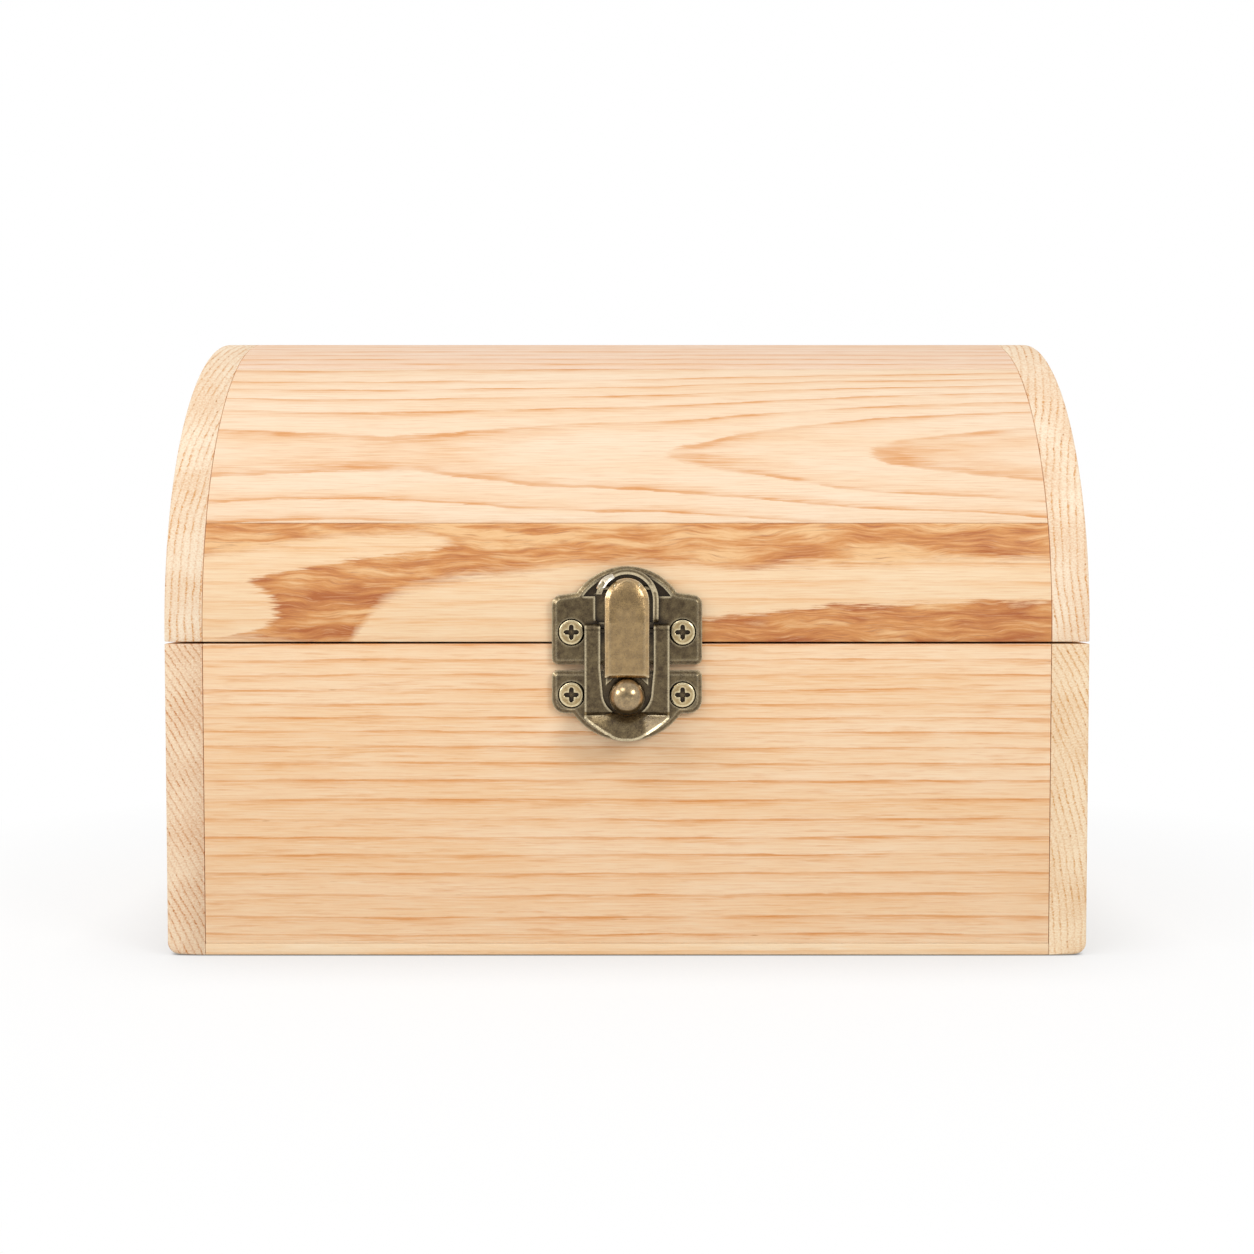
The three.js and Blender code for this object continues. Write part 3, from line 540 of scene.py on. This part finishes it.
def round_place(radius, angle):
    """A point in the lid's section, at an angle from the front round over the top."""
    return Vector((0, -radius * math.cos(angle), lid_centre + radius * math.sin(angle)))


def joint_angle(joint):
    """Where the joint above a stave stands, as an angle from the front round over the top."""
    return 0.0 if joint == 0 else lowest_stave_angle + (joint - 1) * upper_stave_angle


def select_points(piece, wanted):
    """Selects, in edit mode, the points for which wanted(point) is true."""
    bpy.ops.mesh.select_mode(type="VERT")
    bpy.ops.mesh.select_all(action="DESELECT")
    bpy.ops.object.mode_set(mode="OBJECT")
    for spot in piece.data.vertices:
        spot.select = wanted(spot.co)
    bpy.ops.object.mode_set(mode="EDIT")


def stave(number):
    """One stave: its section is drawn as an outline, filled, and drawn out along the lid."""
    gap_angle = glue_half_gap / lid_radius
    start = joint_angle(number - 1) + (gap_angle if number > 1 else 0)
    end = joint_angle(number) - (gap_angle if number < stave_count else 0)
    first = number == 1
    last = number == stave_count
    outer_start = round_place(lid_radius, start)
    begin = Vector((0, outer_start.y, lid_foot)) if first else outer_start
    piece = start_at(f"lid_board_{number}", begin + Vector((-stave_half_length, 0, 0)))
    if first:
        draw_by(0, 0, lid_centre - lid_foot)
    middle = (-stave_half_length, 0, lid_centre)
    bpy.ops.mesh.spin(steps=24, angle=end - start, center=middle, axis=(1, 0, 0))
    outer_end = round_place(lid_radius, end)
    inner_start = round_place(lid_radius - stave_wall, start)
    inner_end = round_place(lid_radius - stave_wall, end)
    if last:
        draw_by(0, 0, lid_foot - lid_centre)
        draw_by(0, -foot_wall, 0)
        draw_by(0, 0, lid_centre - lid_foot)
    else:
        draw_by(*(inner_end - outer_end))
    if first:
        inner_foot = Vector((0, outer_start.y + foot_wall, lid_centre))
        draw_by(*(inner_foot - inner_end))
        draw_by(0, 0, lid_foot - lid_centre)
    else:
        here = Vector((0, lid_radius - foot_wall, lid_centre)) if last else inner_end
        draw_by(*(inner_start - here))
    fill_outline()
    draw_by(2 * stave_half_length, 0, 0)
    turn_faces_out()
    break_edges(piece, stave_ease, sharper_than=25, smooth_below=30)
    return piece


def grain_round_lid(tree):
    """Grain along the staves: along, round the lid from the front, and in from its surface."""
    across, deep, up = parts_of(tree, object_place(tree))
    above = maths(tree, "SUBTRACT", up, lid_centre)
    ahead = maths(tree, "MULTIPLY", deep, -1.0)
    turned = maths(tree, "MULTIPLY", maths(tree, "ARCTAN2", above, ahead), lid_radius)
    section = feed(tree, "CombineXYZ", ahead, above, 0.0)
    reach = feed(tree, "VectorMath", section, operation="LENGTH", out=1)
    return feed(tree, "CombineXYZ", across, turned, maths(tree, "SUBTRACT", lid_radius, reach))


def heart_rings(heart_round, heart_depth_shares, heart_depth_range, ring_shares, ring_range, ring_count):
    """Rings about a heart line that lies under the stave and nears its surface to one side."""
    def count(tree, grain, wander):
        along, around, deep = parts_of(tree, grain)
        length_share = spread(tree, along, -stave_half_length, stave_half_length)
        depth_share = curve_through(tree, length_share, heart_depth_shares)
        sunk = maths(tree, "MULTIPLY", depth_share, heart_depth_range)
        aside = maths(tree, "SUBTRACT", around, heart_round)
        section = feed(tree, "CombineXYZ", aside, maths(tree, "SUBTRACT", sunk, deep), 0.0)
        reach = maths(tree, "ADD", feed(tree, "VectorMath", section, operation="LENGTH", out=1), wander)
        counted = curve_through(tree, maths(tree, "DIVIDE", reach, ring_range), ring_shares)
        return maths(tree, "MULTIPLY", counted, ring_count)
    return count


def even_rings(ring_width, lean=0.5, start=0.0):
    """Nearly even rings that lean as they go into the wood."""
    def count(tree, grain, wander):
        _, around, deep = parts_of(tree, grain)
        moved = maths(tree, "ADD", maths(tree, "MULTIPLY_ADD", deep, lean, around), wander)
        return maths(tree, "DIVIDE", maths(tree, "ADD", moved, start), ring_width)
    return count


figure_height = 0.022
low_edge_from = -0.002
right_edge_from = -0.004
bay_height = (-0.002, 0.012)
bay_reach = (-0.078, -0.058)
rag_reach = 0.0045
sway_reach = 0.0026


def line_over(tree, along, shares, low=0.0):
    """A drawn edge of the figure: its place round the lid for each place along the stave."""
    length_share = spread(tree, along, -stave_half_length, stave_half_length)
    return spread(tree, curve_through(tree, length_share, shares), 0.0, 1.0, low, low + figure_height)


def heartwood(tree, grain, colour):
    """The first stave's figure: streaked brown heartwood with ragged edges."""
    along, around, deep = parts_of(tree, grain)
    rag = drawn_out_noise(tree, grain, 0.007, 0.00035, 0.00035, 4.0, 0.7)
    sway = drawn_out_noise(tree, grain, 0.014, 0.004, 0.004, 2.0)
    ragged = maths(tree, "ADD", shift_by(tree, rag, rag_reach), shift_by(tree, sway, sway_reach))
    place = maths(tree, "ADD", around, ragged)
    top_edge = line_over(tree, along, figure_top_shares)
    low_edge = line_over(tree, along, figure_low_shares, low_edge_from)
    wedge_edge = line_over(tree, along, figure_wedge_shares)
    right_edge = line_over(tree, along, figure_right_shares, right_edge_from)
    bay_share = curve_through(tree, spread(tree, around, *bay_height), figure_bay_shares)
    bay_edge = spread(tree, bay_share, 0.0, 1.0, *bay_reach)
    from_bay = maths(tree, "MULTIPLY", maths(tree, "SUBTRACT", along, bay_edge), 0.5)
    from_bay = maths(tree, "ADD", from_bay, ragged)
    inside_band = maths(tree, "MULTIPLY", maths(tree, "SUBTRACT", place, top_edge), 0.35)
    above_low = maths(tree, "MULTIPLY", maths(tree, "SUBTRACT", place, low_edge), 0.3)
    under_wedge = maths(tree, "MINIMUM", maths(tree, "SUBTRACT", wedge_edge, place), from_bay)
    inside_patch = maths(tree, "MINIMUM", above_low, under_wedge)
    inside_right = maths(tree, "SUBTRACT", right_edge, place)
    inside = maths(tree, "MAXIMUM", inside_band, maths(tree, "MAXIMUM", inside_patch, inside_right))
    mask = spread(tree, inside, -0.0003, 0.0004)
    rim = spread(tree, inside, 0.0003, 0.0016, 1.0, 0.0)

    # Flame-like streaks, swung by a slower noise, with thin darker veins and pale fibres between
    swing = drawn_out_noise(tree, grain, 0.016, 0.006, 0.006, 2.0)
    swung = feed(tree, "CombineXYZ", along, maths(tree, "MULTIPLY_ADD", swing, 0.005, around), deep)
    streak = drawn_out_noise(tree, swung, 0.013, 0.0012, 0.0012, 5.0, 0.65)
    vein = drawn_out_noise(tree, swung, 0.007, 0.00035, 0.00035, 4.0, 0.65)
    cloud = drawn_out_noise(tree, grain, 0.02, 0.004, 0.004, 2.0)
    depth = maths(tree, "ADD", maths(tree, "MULTIPLY", streak, 0.6), maths(tree, "MULTIPLY", cloud, 0.6))
    paler = spread(tree, around, 0.0100, 0.0135, 0.03, -0.04)
    depth = maths(tree, "ADD", depth, maths(tree, "MULTIPLY_ADD", rim, 0.03, paler))
    brown = blend(tree, spread(tree, depth, 0.48, 0.60), tone("f3c48e"), tone("dc995c"))
    brown = blend(tree, spread(tree, depth, 0.60, 0.74), brown, tone("b96c3c"))
    brown = blend(tree, spread(tree, vein, 0.54, 0.74, 0.0, 0.75), brown, tone("a9664a"))
    brown = blend(tree, spread(tree, vein, 0.46, 0.28, 0.0, 0.5), brown, tone("fbd7a8"))
    return blend(tree, mask, colour, brown)


figure_bay_shares = ((0, 0.0), (0.12, 0.14), (0.2, 0.45), (0.28, 0.6), (0.4, 0.68), (0.58, 0.66),
                     (0.72, 0.55), (0.86, 0.42), (1, 0.35))
figure_top_shares = ((0, 0.68), (0.07, 0.75), (0.18, 0.86), (0.26, 0.86), (0.34, 0.62), (0.48, 0.62),
                     (0.6, 0.585), (0.8, 0.61), (0.92, 0.655), (1, 0.64))
figure_wedge_shares = ((0, 0.2), (0.05, 0.45), (0.1, 0.555), (0.15, 0.625), (0.21, 0.67), (0.27, 0.73),
                       (0.3, 0.775), (0.4, 0.8), (1, 0.8))
figure_low_shares = ((0, 0.05), (0.05, 0.08), (0.155, 0.0), (0.18, 0.12), (0.22, 0.42), (0.28, 0.55),
                     (0.37, 0.64), (0.48, 0.7), (1, 0.72))
figure_right_shares = ((0, 0), (0.56, 0.0), (0.585, 0.33), (0.65, 0.36), (0.7, 0.415), (0.8, 0.44),
                       (1, 0.485))

stave_rings = {
    1: even_rings(0.0034, lean=0.8),
    2: heart_rings(0.0362, ((0, 0.894), (0.16, 0.93), (0.32, 0.894), (0.43, 0.84), (0.55, 0.79), (0.69, 0.69),
                           (0.8, 0.575), (0.88, 0.52), (1, 0.42)), 0.016,
                   ((0, 0), (0.307, 0.125), (0.423, 0.25), (0.513, 0.375), (0.607, 0.5), (0.697, 0.625),
                    (0.78, 0.75), (0.86, 0.875), (1, 1)), 0.030, 8.0),
    3: even_rings(0.0029, lean=0.3, start=0.001),
    4: even_rings(0.0037, lean=-0.4, start=0.002),
    5: even_rings(0.0032, lean=0.7),
}
stave_tones = {1: "fbdcb4", 2: "fbe2c4", 3: "f6dac2", 4: "f6dac2", 5: "f8dfc0"}
for number in range(1, stave_count + 1):
    figure = heartwood if number == 1 else None
    stave_pine = pine(f"stave {number} pine", grain_round_lid, stave_rings[number], figure=figure,
                      wander=(0.0005, 0.06), canal_share=0.25, pale=stave_tones[number], drift_share=0.3,
                      line_share=0.25 if figure else 0.8, streak_share=0.12)
    dress(stave(number), stave_pine, "pine_board", "lid", f"lid_stave_{number}")

# The lid's half-round ends are cut from the same plank as the box's ends and rounded over
# along the arch. They stand on the seam and close the barrel.
lid_end_ring_width = 0.00135
for side_name, side, ring_centre in (("left", -1, (0.09, 0.060)), ("right", 1, (0.176, 0.075))):
    end_low, end_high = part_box(f"lid_{side_name}_end")
    outer = end_high.x if side > 0 else end_low.x
    inner = end_low.x if side > 0 else end_high.x
    arch = start_at(f"lid_{side_name}_end_board", (inner, end_low.y, lid_foot))
    draw_by(0, 0, lid_centre - lid_foot)
    bpy.ops.mesh.spin(steps=96, angle=math.pi, center=(inner, 0, lid_centre), axis=(1, 0, 0))
    draw_by(0, 0, lid_foot - lid_centre)
    fill_outline()
    draw_by(outer - inner, 0, 0)
    bpy.ops.mesh.select_all(action="SELECT")
    bpy.ops.mesh.normals_make_consistent(inside=False)
    select_edges(arch, lambda one, other: max(abs(one.x - outer), abs(other.x - outer)) < touching
                 and max(one.z, other.z) > lid_foot + touching)
    bpy.ops.mesh.bevel(offset=arris_radius, segments=4, affect="EDGES")
    bpy.ops.object.mode_set(mode="OBJECT")
    break_edges(arch, edge_ease, smooth_below=30)
    lid_end_pine = end_grain(f"lid {side_name} end pine", end_rings(*ring_centre, lid_end_ring_width),
                             "feeace", "d9964c")
    dress(arch, lid_end_pine, "pine_end", "lid", f"lid_{side_name}_end")


# The latch is stamped and cast metal with an antique bronze plating, dark and mottled on its
# flats and rubbed bright along its edges. Two screws hold its upper plate to the lid, and two
# hold its lower plate to the box.
speck_size = 0.00025
worn_reach = 0.0005
patina_and_shade_reach = 0.0022
patina_depth = 0.00004


def near_edges(tree, reach, inside):
    """1 where the metal's own edges, or with inside off its hollows and the parts beside it, are within
    reach.
    """
    look = tree.nodes.new("ShaderNodeAmbientOcclusion")
    look.inside = inside
    look.only_local = inside
    look.samples = 12
    look.inputs["Distance"].default_value = reach
    return maths(tree, "SUBTRACT", 1.0, look.outputs["AO"])


def bronze(name, dark, light, rubbed, mottle=0.0012, rough=(0.23, 0.37), patina_and_shade_range=(0.2, 0.5), coat=0.45,
           coat_ior=1.5, coat_rough=0.16, painted_shade_below=None):
    """Antique bronze: mottled patina, rubbed bright on its edges, and darkened in its hollows and beside
    other parts, partly patina and partly painted shade.
    """
    finish, tree, shader = new_finish(name)
    place = object_place(tree)
    cloud = drawn_out_noise(tree, place, mottle, mottle, mottle, 4.0, 0.6)
    speck = drawn_out_noise(tree, place, speck_size, speck_size, speck_size, 3.0, 0.6)
    depth = maths(tree, "ADD", maths(tree, "MULTIPLY", cloud, 0.6), maths(tree, "MULTIPLY", speck, 0.4))
    colour = blend(tree, spread(tree, depth, 0.38, 0.62), tone(dark), tone(light))
    worn = maths(tree, "MULTIPLY", spread(tree, near_edges(tree, worn_reach, True), 0.02, 0.25),
                 spread(tree, speck, 0.3, 0.6, 0.5, 1.0))
    colour = blend(tree, worn, colour, tone(rubbed))
    # Painted shade: the piece is darkened towards its bottom, by height.
    if painted_shade_below:
        below = spread(tree, parts_of(tree, place)[2], *painted_shade_below, 0.15, 0.0)
        colour = blend(tree, below, colour, tone("2e2214"))
    # Near black where its hollows and other parts close by block the light: patina in part, and painted shade
    # in part, as under the lever and round the ball.
    patina_and_shade = spread(tree, near_edges(tree, patina_and_shade_reach, False), *patina_and_shade_range)
    colour = blend(tree, patina_and_shade, colour, tone("2c1f0e"))
    tree.links.new(colour, shader.inputs["Base Color"])
    dull = spread(tree, speck, 0.3, 0.7, *rough)
    polished = maths(tree, "MULTIPLY", worn, 0.08)
    tree.links.new(maths(tree, "SUBTRACT", dull, polished), shader.inputs["Roughness"])
    shader.inputs["Metallic"].default_value = 1.0
    shader.inputs["Coat Weight"].default_value = coat
    shader.inputs["Coat IOR"].default_value = coat_ior
    shader.inputs["Coat Roughness"].default_value = coat_rough
    emboss(tree, shader, maths(tree, "ADD", speck, maths(tree, "MULTIPLY", cloud, 0.6)), 0.3, patina_depth)
    return finish


def round_edges(piece, width, segments=3, angle=28):
    """Rounds a piece's sharp edges."""
    bpy.context.view_layer.objects.active = piece
    rounding = piece.modifiers.new("rounded edges", "BEVEL")
    rounding.width = width
    rounding.segments = segments
    rounding.limit_method = "ANGLE"
    rounding.angle_limit = math.radians(angle)
    bpy.ops.object.modifier_apply(modifier=rounding.name)
    bpy.ops.object.shade_smooth_by_angle(angle=math.radians(38))
    evening = piece.modifiers.new("even flats", "WEIGHTED_NORMAL")
    evening.keep_sharp = True
    bpy.ops.object.modifier_apply(modifier=evening.name)


def cleaned_copy(name, node):
    """A piece with a node's own shape, its points joined and its flat faces made whole."""
    bpy.ops.object.select_all(action="DESELECT")
    piece = bpy.data.objects.new(name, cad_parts[node].data.copy())
    bpy.context.scene.collection.objects.link(piece)
    bpy.context.view_layer.objects.active = piece
    piece.select_set(True)
    piece.data.materials.clear()
    bpy.ops.object.mode_set(mode="EDIT")
    bpy.ops.mesh.select_all(action="SELECT")
    bpy.ops.mesh.remove_doubles(threshold=1e-6)
    bpy.ops.mesh.dissolve_limited(angle_limit=math.radians(0.5))
    bpy.ops.object.mode_set(mode="OBJECT")
    return piece


plate_bronze = bronze("antique bronze", "4c3c26", "7d6c4c", "d6c5a1")
lever_bronze = bronze("rubbed bronze", "957950", "b69664", "e6d6b2", patina_and_shade_range=(0.5, 0.9), coat=0.9)
screw_bronze = bronze("screw bronze", "a88f62", "cbb180", "e9d8ae", patina_and_shade_range=(0.15, 0.4))
latch_edge = 0.00015
latch_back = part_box("upper_plate")[1].y
fold_below_lever_top = 0.0243
lip_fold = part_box("lever")[1].z - fold_below_lever_top
lip_length = 0.005
lip_rise = 0.003
lip_curl = 1.25
lip_swell = 0.12
swell_from = 0.12
swell_to = 0.8
wing_from = 0.0020
wing_lean = 0.0018
wing_width = 0.0048
wing_rise = 0.0012
wing_foot = 0.1
wing_steps = 4
lip_cuts = (0.001, 0.05, 0.1, 0.2, 0.3, 0.42, 0.6)


def within(value):
    """A value held between 0 and 1."""
    return min(max(value, 0), 1)


def flare(share, aside):
    """How much further out the lip stands, folded crisply and with a wing raised at each side."""
    wing = within((aside - wing_from - wing_lean * share) / wing_width)
    return lip_rise * (share - share ** lip_curl) + wing_rise * wing * within(share / wing_foot)


def swell(share):
    """How much wider the lip is between its fold and its tip."""
    along = within((share - swell_from) / (swell_to - swell_from))
    return 1 + 4 * lip_swell * along * (1 - along)


def fold_lip(bail):
    """Folds the bail's lip crisply, rounds its sides and bends up its two wings."""
    bpy.ops.object.mode_set(mode="EDIT")
    cuts = [((0, 0, lip_fold - lip_length * share), (0, 0, 1)) for share in lip_cuts]
    for side in (-1, 1):
        for step in range(wing_steps + 1):
            column = side * (wing_from + wing_width * step / wing_steps)
            cuts.append(((column, 0, lip_fold), (side, 0, wing_lean / lip_length)))
    for place, way in cuts:
        select_points(bail, lambda spot: way[0] == 0 or spot.z < lip_fold + touching)
        bpy.ops.mesh.bisect(plane_co=place, plane_no=way)
    bpy.ops.object.mode_set(mode="OBJECT")
    for spot in bail.data.vertices:
        if spot.co.z < lip_fold:
            share = (lip_fold - spot.co.z) / lip_length
            spot.co.y -= flare(share, abs(spot.co.x))
            spot.co.x *= swell(share)


for node, body, finish, slot in (
    ("upper_plate", "lid", plate_bronze, "bronze_plate"),
    ("lower_plate", "chest_body", plate_bronze, "bronze_plate"),
    ("bail", "bail", plate_bronze, "bronze_plate"),
    ("bail_pin", "lid", plate_bronze, "bronze_plate"),
    ("lever_pin", "lid", plate_bronze, "bronze_plate"),
    ("upper_screw_left", "lid", screw_bronze, "bronze_screw"),
    ("upper_screw_right", "lid", screw_bronze, "bronze_screw"),
    ("lower_screw_left", "chest_body", screw_bronze, "bronze_screw"),
    ("lower_screw_right", "chest_body", screw_bronze, "bronze_screw"),
):
    piece = cleaned_copy(f"latch_{node}", node)
    if node == "bail":
        fold_lip(piece)
    round_edges(piece, latch_edge)
    dress(piece, finish, slot, body, node)

# The lever is a cast tongue, round at the top, and crowned and bent back a little there. Its
# flat runs up to a point between two bevels, and a thinner grip behind it straddles the ball.
lever_low, lever_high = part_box("lever")
lever_half = lever_high.x
lever_arc = lever_high.z - lever_half
lever_length = 0.0181
lever_thickness = 0.0014
lever_bevel = 0.0006
lever_foot = lever_high.z - lever_length
lever_front = lever_low.y
lever_shoulder = lever_front + lever_bevel
lever_rear = lever_front + lever_thickness
flat_half = 0.0032
flat_arc_radius = 0.0041
flat_tip_gap = 0.00045
flat_foot_gap = 0.00055
flat_border = 0.0003
arc_steps = 12
lever_bend_from = 0.0060
lever_bend = 0.00055
crown_from = 0.0012
crown_length = 0.004
crown_foot = lever_arc - crown_length
crown_depth = 0.00042
crown_rows = 20
crown_columns = 7


def round_top(depth):
    """The lever's outline at one depth, drawn as a closed line."""
    draw_by(0, 0, lever_arc - lever_foot)
    bpy.ops.mesh.spin(steps=2 * arc_steps, angle=math.pi, center=(0, depth, lever_arc), axis=(0, -1, 0))
    draw_by(0, 0, lever_foot - lever_arc)


lever_tongue = start_at("latch_lever", (-lever_half, lever_rear, lever_foot))
round_top(lever_rear)
fill_outline()
draw_by(0, lever_shoulder - lever_rear, 0)
bpy.ops.mesh.delete(type="ONLY_FACE")
bpy.ops.object.mode_set(mode="OBJECT")

# The flat's outline has two arcs that meet in a point over the middle
flat_centre = flat_half - flat_arc_radius
flat_rise = math.sqrt(flat_arc_radius ** 2 - flat_centre ** 2)
flat_arc = lever_high.z - flat_tip_gap - flat_rise
flat_turn = math.acos(-flat_centre / flat_arc_radius)
flat_foot = lever_foot + flat_foot_gap
start_at("lever_flat", (-flat_half, lever_front, flat_foot))
draw_by(0, 0, flat_arc - flat_foot)
for arc_centre in (-flat_centre, flat_centre):
    arc_middle = (arc_centre, lever_front, flat_arc)
    bpy.ops.mesh.spin(steps=arc_steps, angle=flat_turn, center=arc_middle, axis=(0, -1, 0))
draw_by(0, 0, flat_foot - flat_arc)
fill_outline()
bpy.ops.mesh.delete(type="ONLY_FACE")
bpy.ops.object.mode_set(mode="OBJECT")
lever_tongue.select_set(True)
bpy.context.view_layer.objects.active = lever_tongue
bpy.ops.object.join()
bpy.ops.object.mode_set(mode="EDIT")
select_edges(lever_tongue, lambda one, other: max(one.y, other.y) < lever_shoulder + touching
             and abs(one.y - other.y) < touching)
bpy.ops.mesh.bridge_edge_loops()
select_edges(lever_tongue, lambda one, other: max(one.y, other.y) < lever_front + touching)
bpy.ops.mesh.edge_face_add()
bpy.ops.mesh.inset(thickness=flat_border)
bend_foot = lever_high.z - lever_bend_from
for step in range(crown_rows):
    row = crown_foot + (lever_high.z - crown_foot) * step / crown_rows
    bpy.ops.mesh.select_all(action="SELECT")
    bpy.ops.mesh.bisect(plane_co=(0, 0, row), plane_no=(0, 0, 1))
for step in range(-crown_columns, crown_columns + 1):
    select_points(lever_tongue, lambda spot: spot.y < lever_shoulder + touching
                  and spot.z > crown_foot - touching)
    bpy.ops.mesh.bisect(plane_co=(flat_half * step / (crown_columns + 1), 0, 0), plane_no=(1, 0, 0))
turn_faces_out()
for spot in lever_tongue.data.vertices:
    reach = math.hypot(spot.co.x, max(spot.co.z - lever_arc, 0))
    across = within((reach - crown_from) / (flat_half - crown_from))
    crown = crown_depth * across ** 2 * within((spot.co.z - crown_foot) / crown_length)
    if spot.co.y < lever_rear - touching:
        spot.co.y += crown
    spot.co.y += lever_bend * (max(spot.co.z - bend_foot, 0) / lever_bend_from) ** 2

grip_half = 0.0039
grip_notch_half = 0.0022
grip_below_top = 0.01295
grip_thickness = 0.0009
grip_sunk = 0.0003
grip_top = lever_high.z - grip_below_top
grip_foot = lever_low.z
grip_back = lever_rear + grip_thickness
grip = start_at("latch_lever_grip", (-grip_half, grip_back, grip_top))
draw_by(0, 0, grip_foot - grip_top)
draw_by(grip_half - grip_notch_half, 0, lever_foot - grip_foot)
draw_by(2 * grip_notch_half, 0, 0)
draw_by(grip_half - grip_notch_half, 0, grip_foot - lever_foot)
draw_by(0, 0, grip_top - grip_foot)
fill_outline()
draw_by(0, -grip_thickness - grip_sunk, 0)
turn_faces_out()

barrel_radius = 0.00105
barrel_width = 0.0048
barrel_below_top = 0.00185
barrel_behind = 0.0004
lever_edge = 0.00022
bpy.ops.object.select_all(action="DESELECT")
bpy.ops.mesh.primitive_cylinder_add(radius=barrel_radius, depth=barrel_width, vertices=32,
                                    location=(0, lever_rear + barrel_behind, lever_high.z - barrel_below_top),
                                    rotation=(0, math.radians(90), 0))
barrel = bpy.context.object
bpy.ops.object.transform_apply(location=True, rotation=True, scale=True)
barrel.name = "latch_lever_barrel"
for piece, rounding, finish in (
    (lever_tongue, lever_edge, lever_bronze),
    (grip, lever_edge, plate_bronze),
    (barrel, latch_edge, plate_bronze),
):
    round_edges(piece, rounding, segments=4, angle=24)
    dress(piece, finish, "bronze_worn", "lever", "lever")

# A raised facet stands on the collar's upper left, where the stamping is folded over. It is given a lighter,
# silvery bronze than the plate, a painted highlight, and it narrows towards its ends.
facet_inner = 0.00462
facet_outer = 0.0060
facet_end_cut = 0.0009
facet_tip_cut = 0.0006
facet_end_share = 0.2
facet_tip_share = 0.4
facet_high = 0.0048
facet_low = 0.0038
facet_foot = 0.0014
facet_edge = 0.0001
facet_from = math.radians(159)
facet_turn = math.radians(41)
facet_start = Vector((math.cos(facet_from), 0, math.sin(facet_from)))
lever_middle = Vector((0, 0, lever_arc))
facet_corner = lever_middle + facet_start * facet_inner + Vector((0, latch_back - facet_foot, 0))
facet = start_at("latch_collar_facet", facet_corner)
draw_by(0, facet_foot - facet_high, 0)
draw_by(*(facet_start * (facet_outer - facet_inner) + Vector((0, facet_high - facet_low, 0))))
draw_by(0, facet_low - facet_foot, 0)
fill_outline()
bpy.ops.mesh.spin(steps=16, angle=facet_turn, center=(0, 0, lever_arc), axis=(0, -1, 0))
turn_faces_out()
for spot in facet.data.vertices:
    out = Vector((spot.co.x, 0, spot.co.z)) - lever_middle
    turned = (facet_from - math.atan2(out.z, out.x)) / facet_turn
    if out.length < (facet_inner + facet_outer) / 2:
        moved = facet_end_cut * within(1 - turned / facet_end_share)
    else:
        moved = -facet_tip_cut * within((turned - facet_tip_share) / (1 - facet_tip_share)) ** 2
    spot.co += out.normalized() * moved
round_edges(facet, facet_edge)
# A lighter copy of the plate's bronze: a painted highlight.
facet_highlight_bronze = bronze("bronze with painted highlight", "a3957c", "c6bca8", "e6dfd0", patina_and_shade_range=(0.7, 1.0))
dress(facet, facet_highlight_bronze, "bronze_plate", "lid", "upper_plate")

# The ball stud is turned from one piece: the ball, a neck, a flange and a tail that goes
# through the plate into the wood.
ball_radius = 0.0033
neck_radius = 0.0016
flange_radius = 0.0022
flange_height = 0.0004
tail_radius = 0.0012
# The ball gets painted shade on its lower part, full below these heights.
shade_below_full = 0.0027
shade_below_end = 0.0012
stud_low, stud_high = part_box("ball_stud")
stud_z = (stud_low.z + stud_high.z) / 2
ball_y = stud_low.y + ball_radius
seat_y = ball_y + math.sqrt(ball_radius ** 2 - neck_radius ** 2)
ball_turn = math.pi - math.asin(neck_radius / ball_radius)
stud = start_at("latch_ball_stud", (0, stud_low.y, stud_z))
bpy.ops.mesh.spin(steps=24, angle=ball_turn, center=(0, ball_y, stud_z), axis=(1, 0, 0))
draw_by(0, 0, flange_radius - neck_radius)
draw_by(0, flange_height, 0)
draw_by(0, 0, tail_radius - flange_radius)
draw_by(0, stud_high.y - seat_y - flange_height, 0)
draw_by(0, 0, -tail_radius)
bpy.ops.mesh.select_all(action="SELECT")
bpy.ops.mesh.spin(steps=48, angle=math.tau, center=(0, ball_y, stud_z), axis=(0, 1, 0))
bpy.ops.mesh.select_all(action="SELECT")
bpy.ops.mesh.remove_doubles(threshold=1e-6)
bpy.ops.mesh.normals_make_consistent(inside=False)
bpy.ops.object.mode_set(mode="OBJECT")
bpy.ops.object.shade_smooth_by_angle(angle=math.radians(38))
stud_bronze = bronze("ball bronze", "755e3b", "b19566", "d4bd90", rough=(0.19, 0.28),
                     patina_and_shade_range=(0.85, 1.3), coat=1.0, coat_ior=1.65, coat_rough=0.2,
                     painted_shade_below=(stud_z - shade_below_full, stud_z - shade_below_end))
dress(stud, stud_bronze, "bronze_worn", "chest_body", "ball_stud")

# Two small butt hinges are screwed over the seam at the back. Each has two leaves with
# knuckles, a pin through them and four screws, plated as the latch is.
for side_name in ("left", "right"):
    for part, body, finish, slot in (
        ("body_leaf", "chest_body", plate_bronze, "bronze_plate"),
        ("lid_leaf", "lid", plate_bronze, "bronze_plate"),
        ("pin", "chest_body", lever_bronze, "bronze_worn"),
        ("body_screw_1", "chest_body", screw_bronze, "bronze_screw"),
        ("body_screw_2", "chest_body", screw_bronze, "bronze_screw"),
        ("lid_screw_1", "lid", screw_bronze, "bronze_screw"),
        ("lid_screw_2", "lid", screw_bronze, "bronze_screw"),
    ):
        piece = cleaned_copy(f"butt_{side_name}_{part}", f"hinge_{side_name}_{part}")
        round_edges(piece, latch_edge)
        dress(piece, finish, slot, body, f"hinge_{side_name}_{part}")
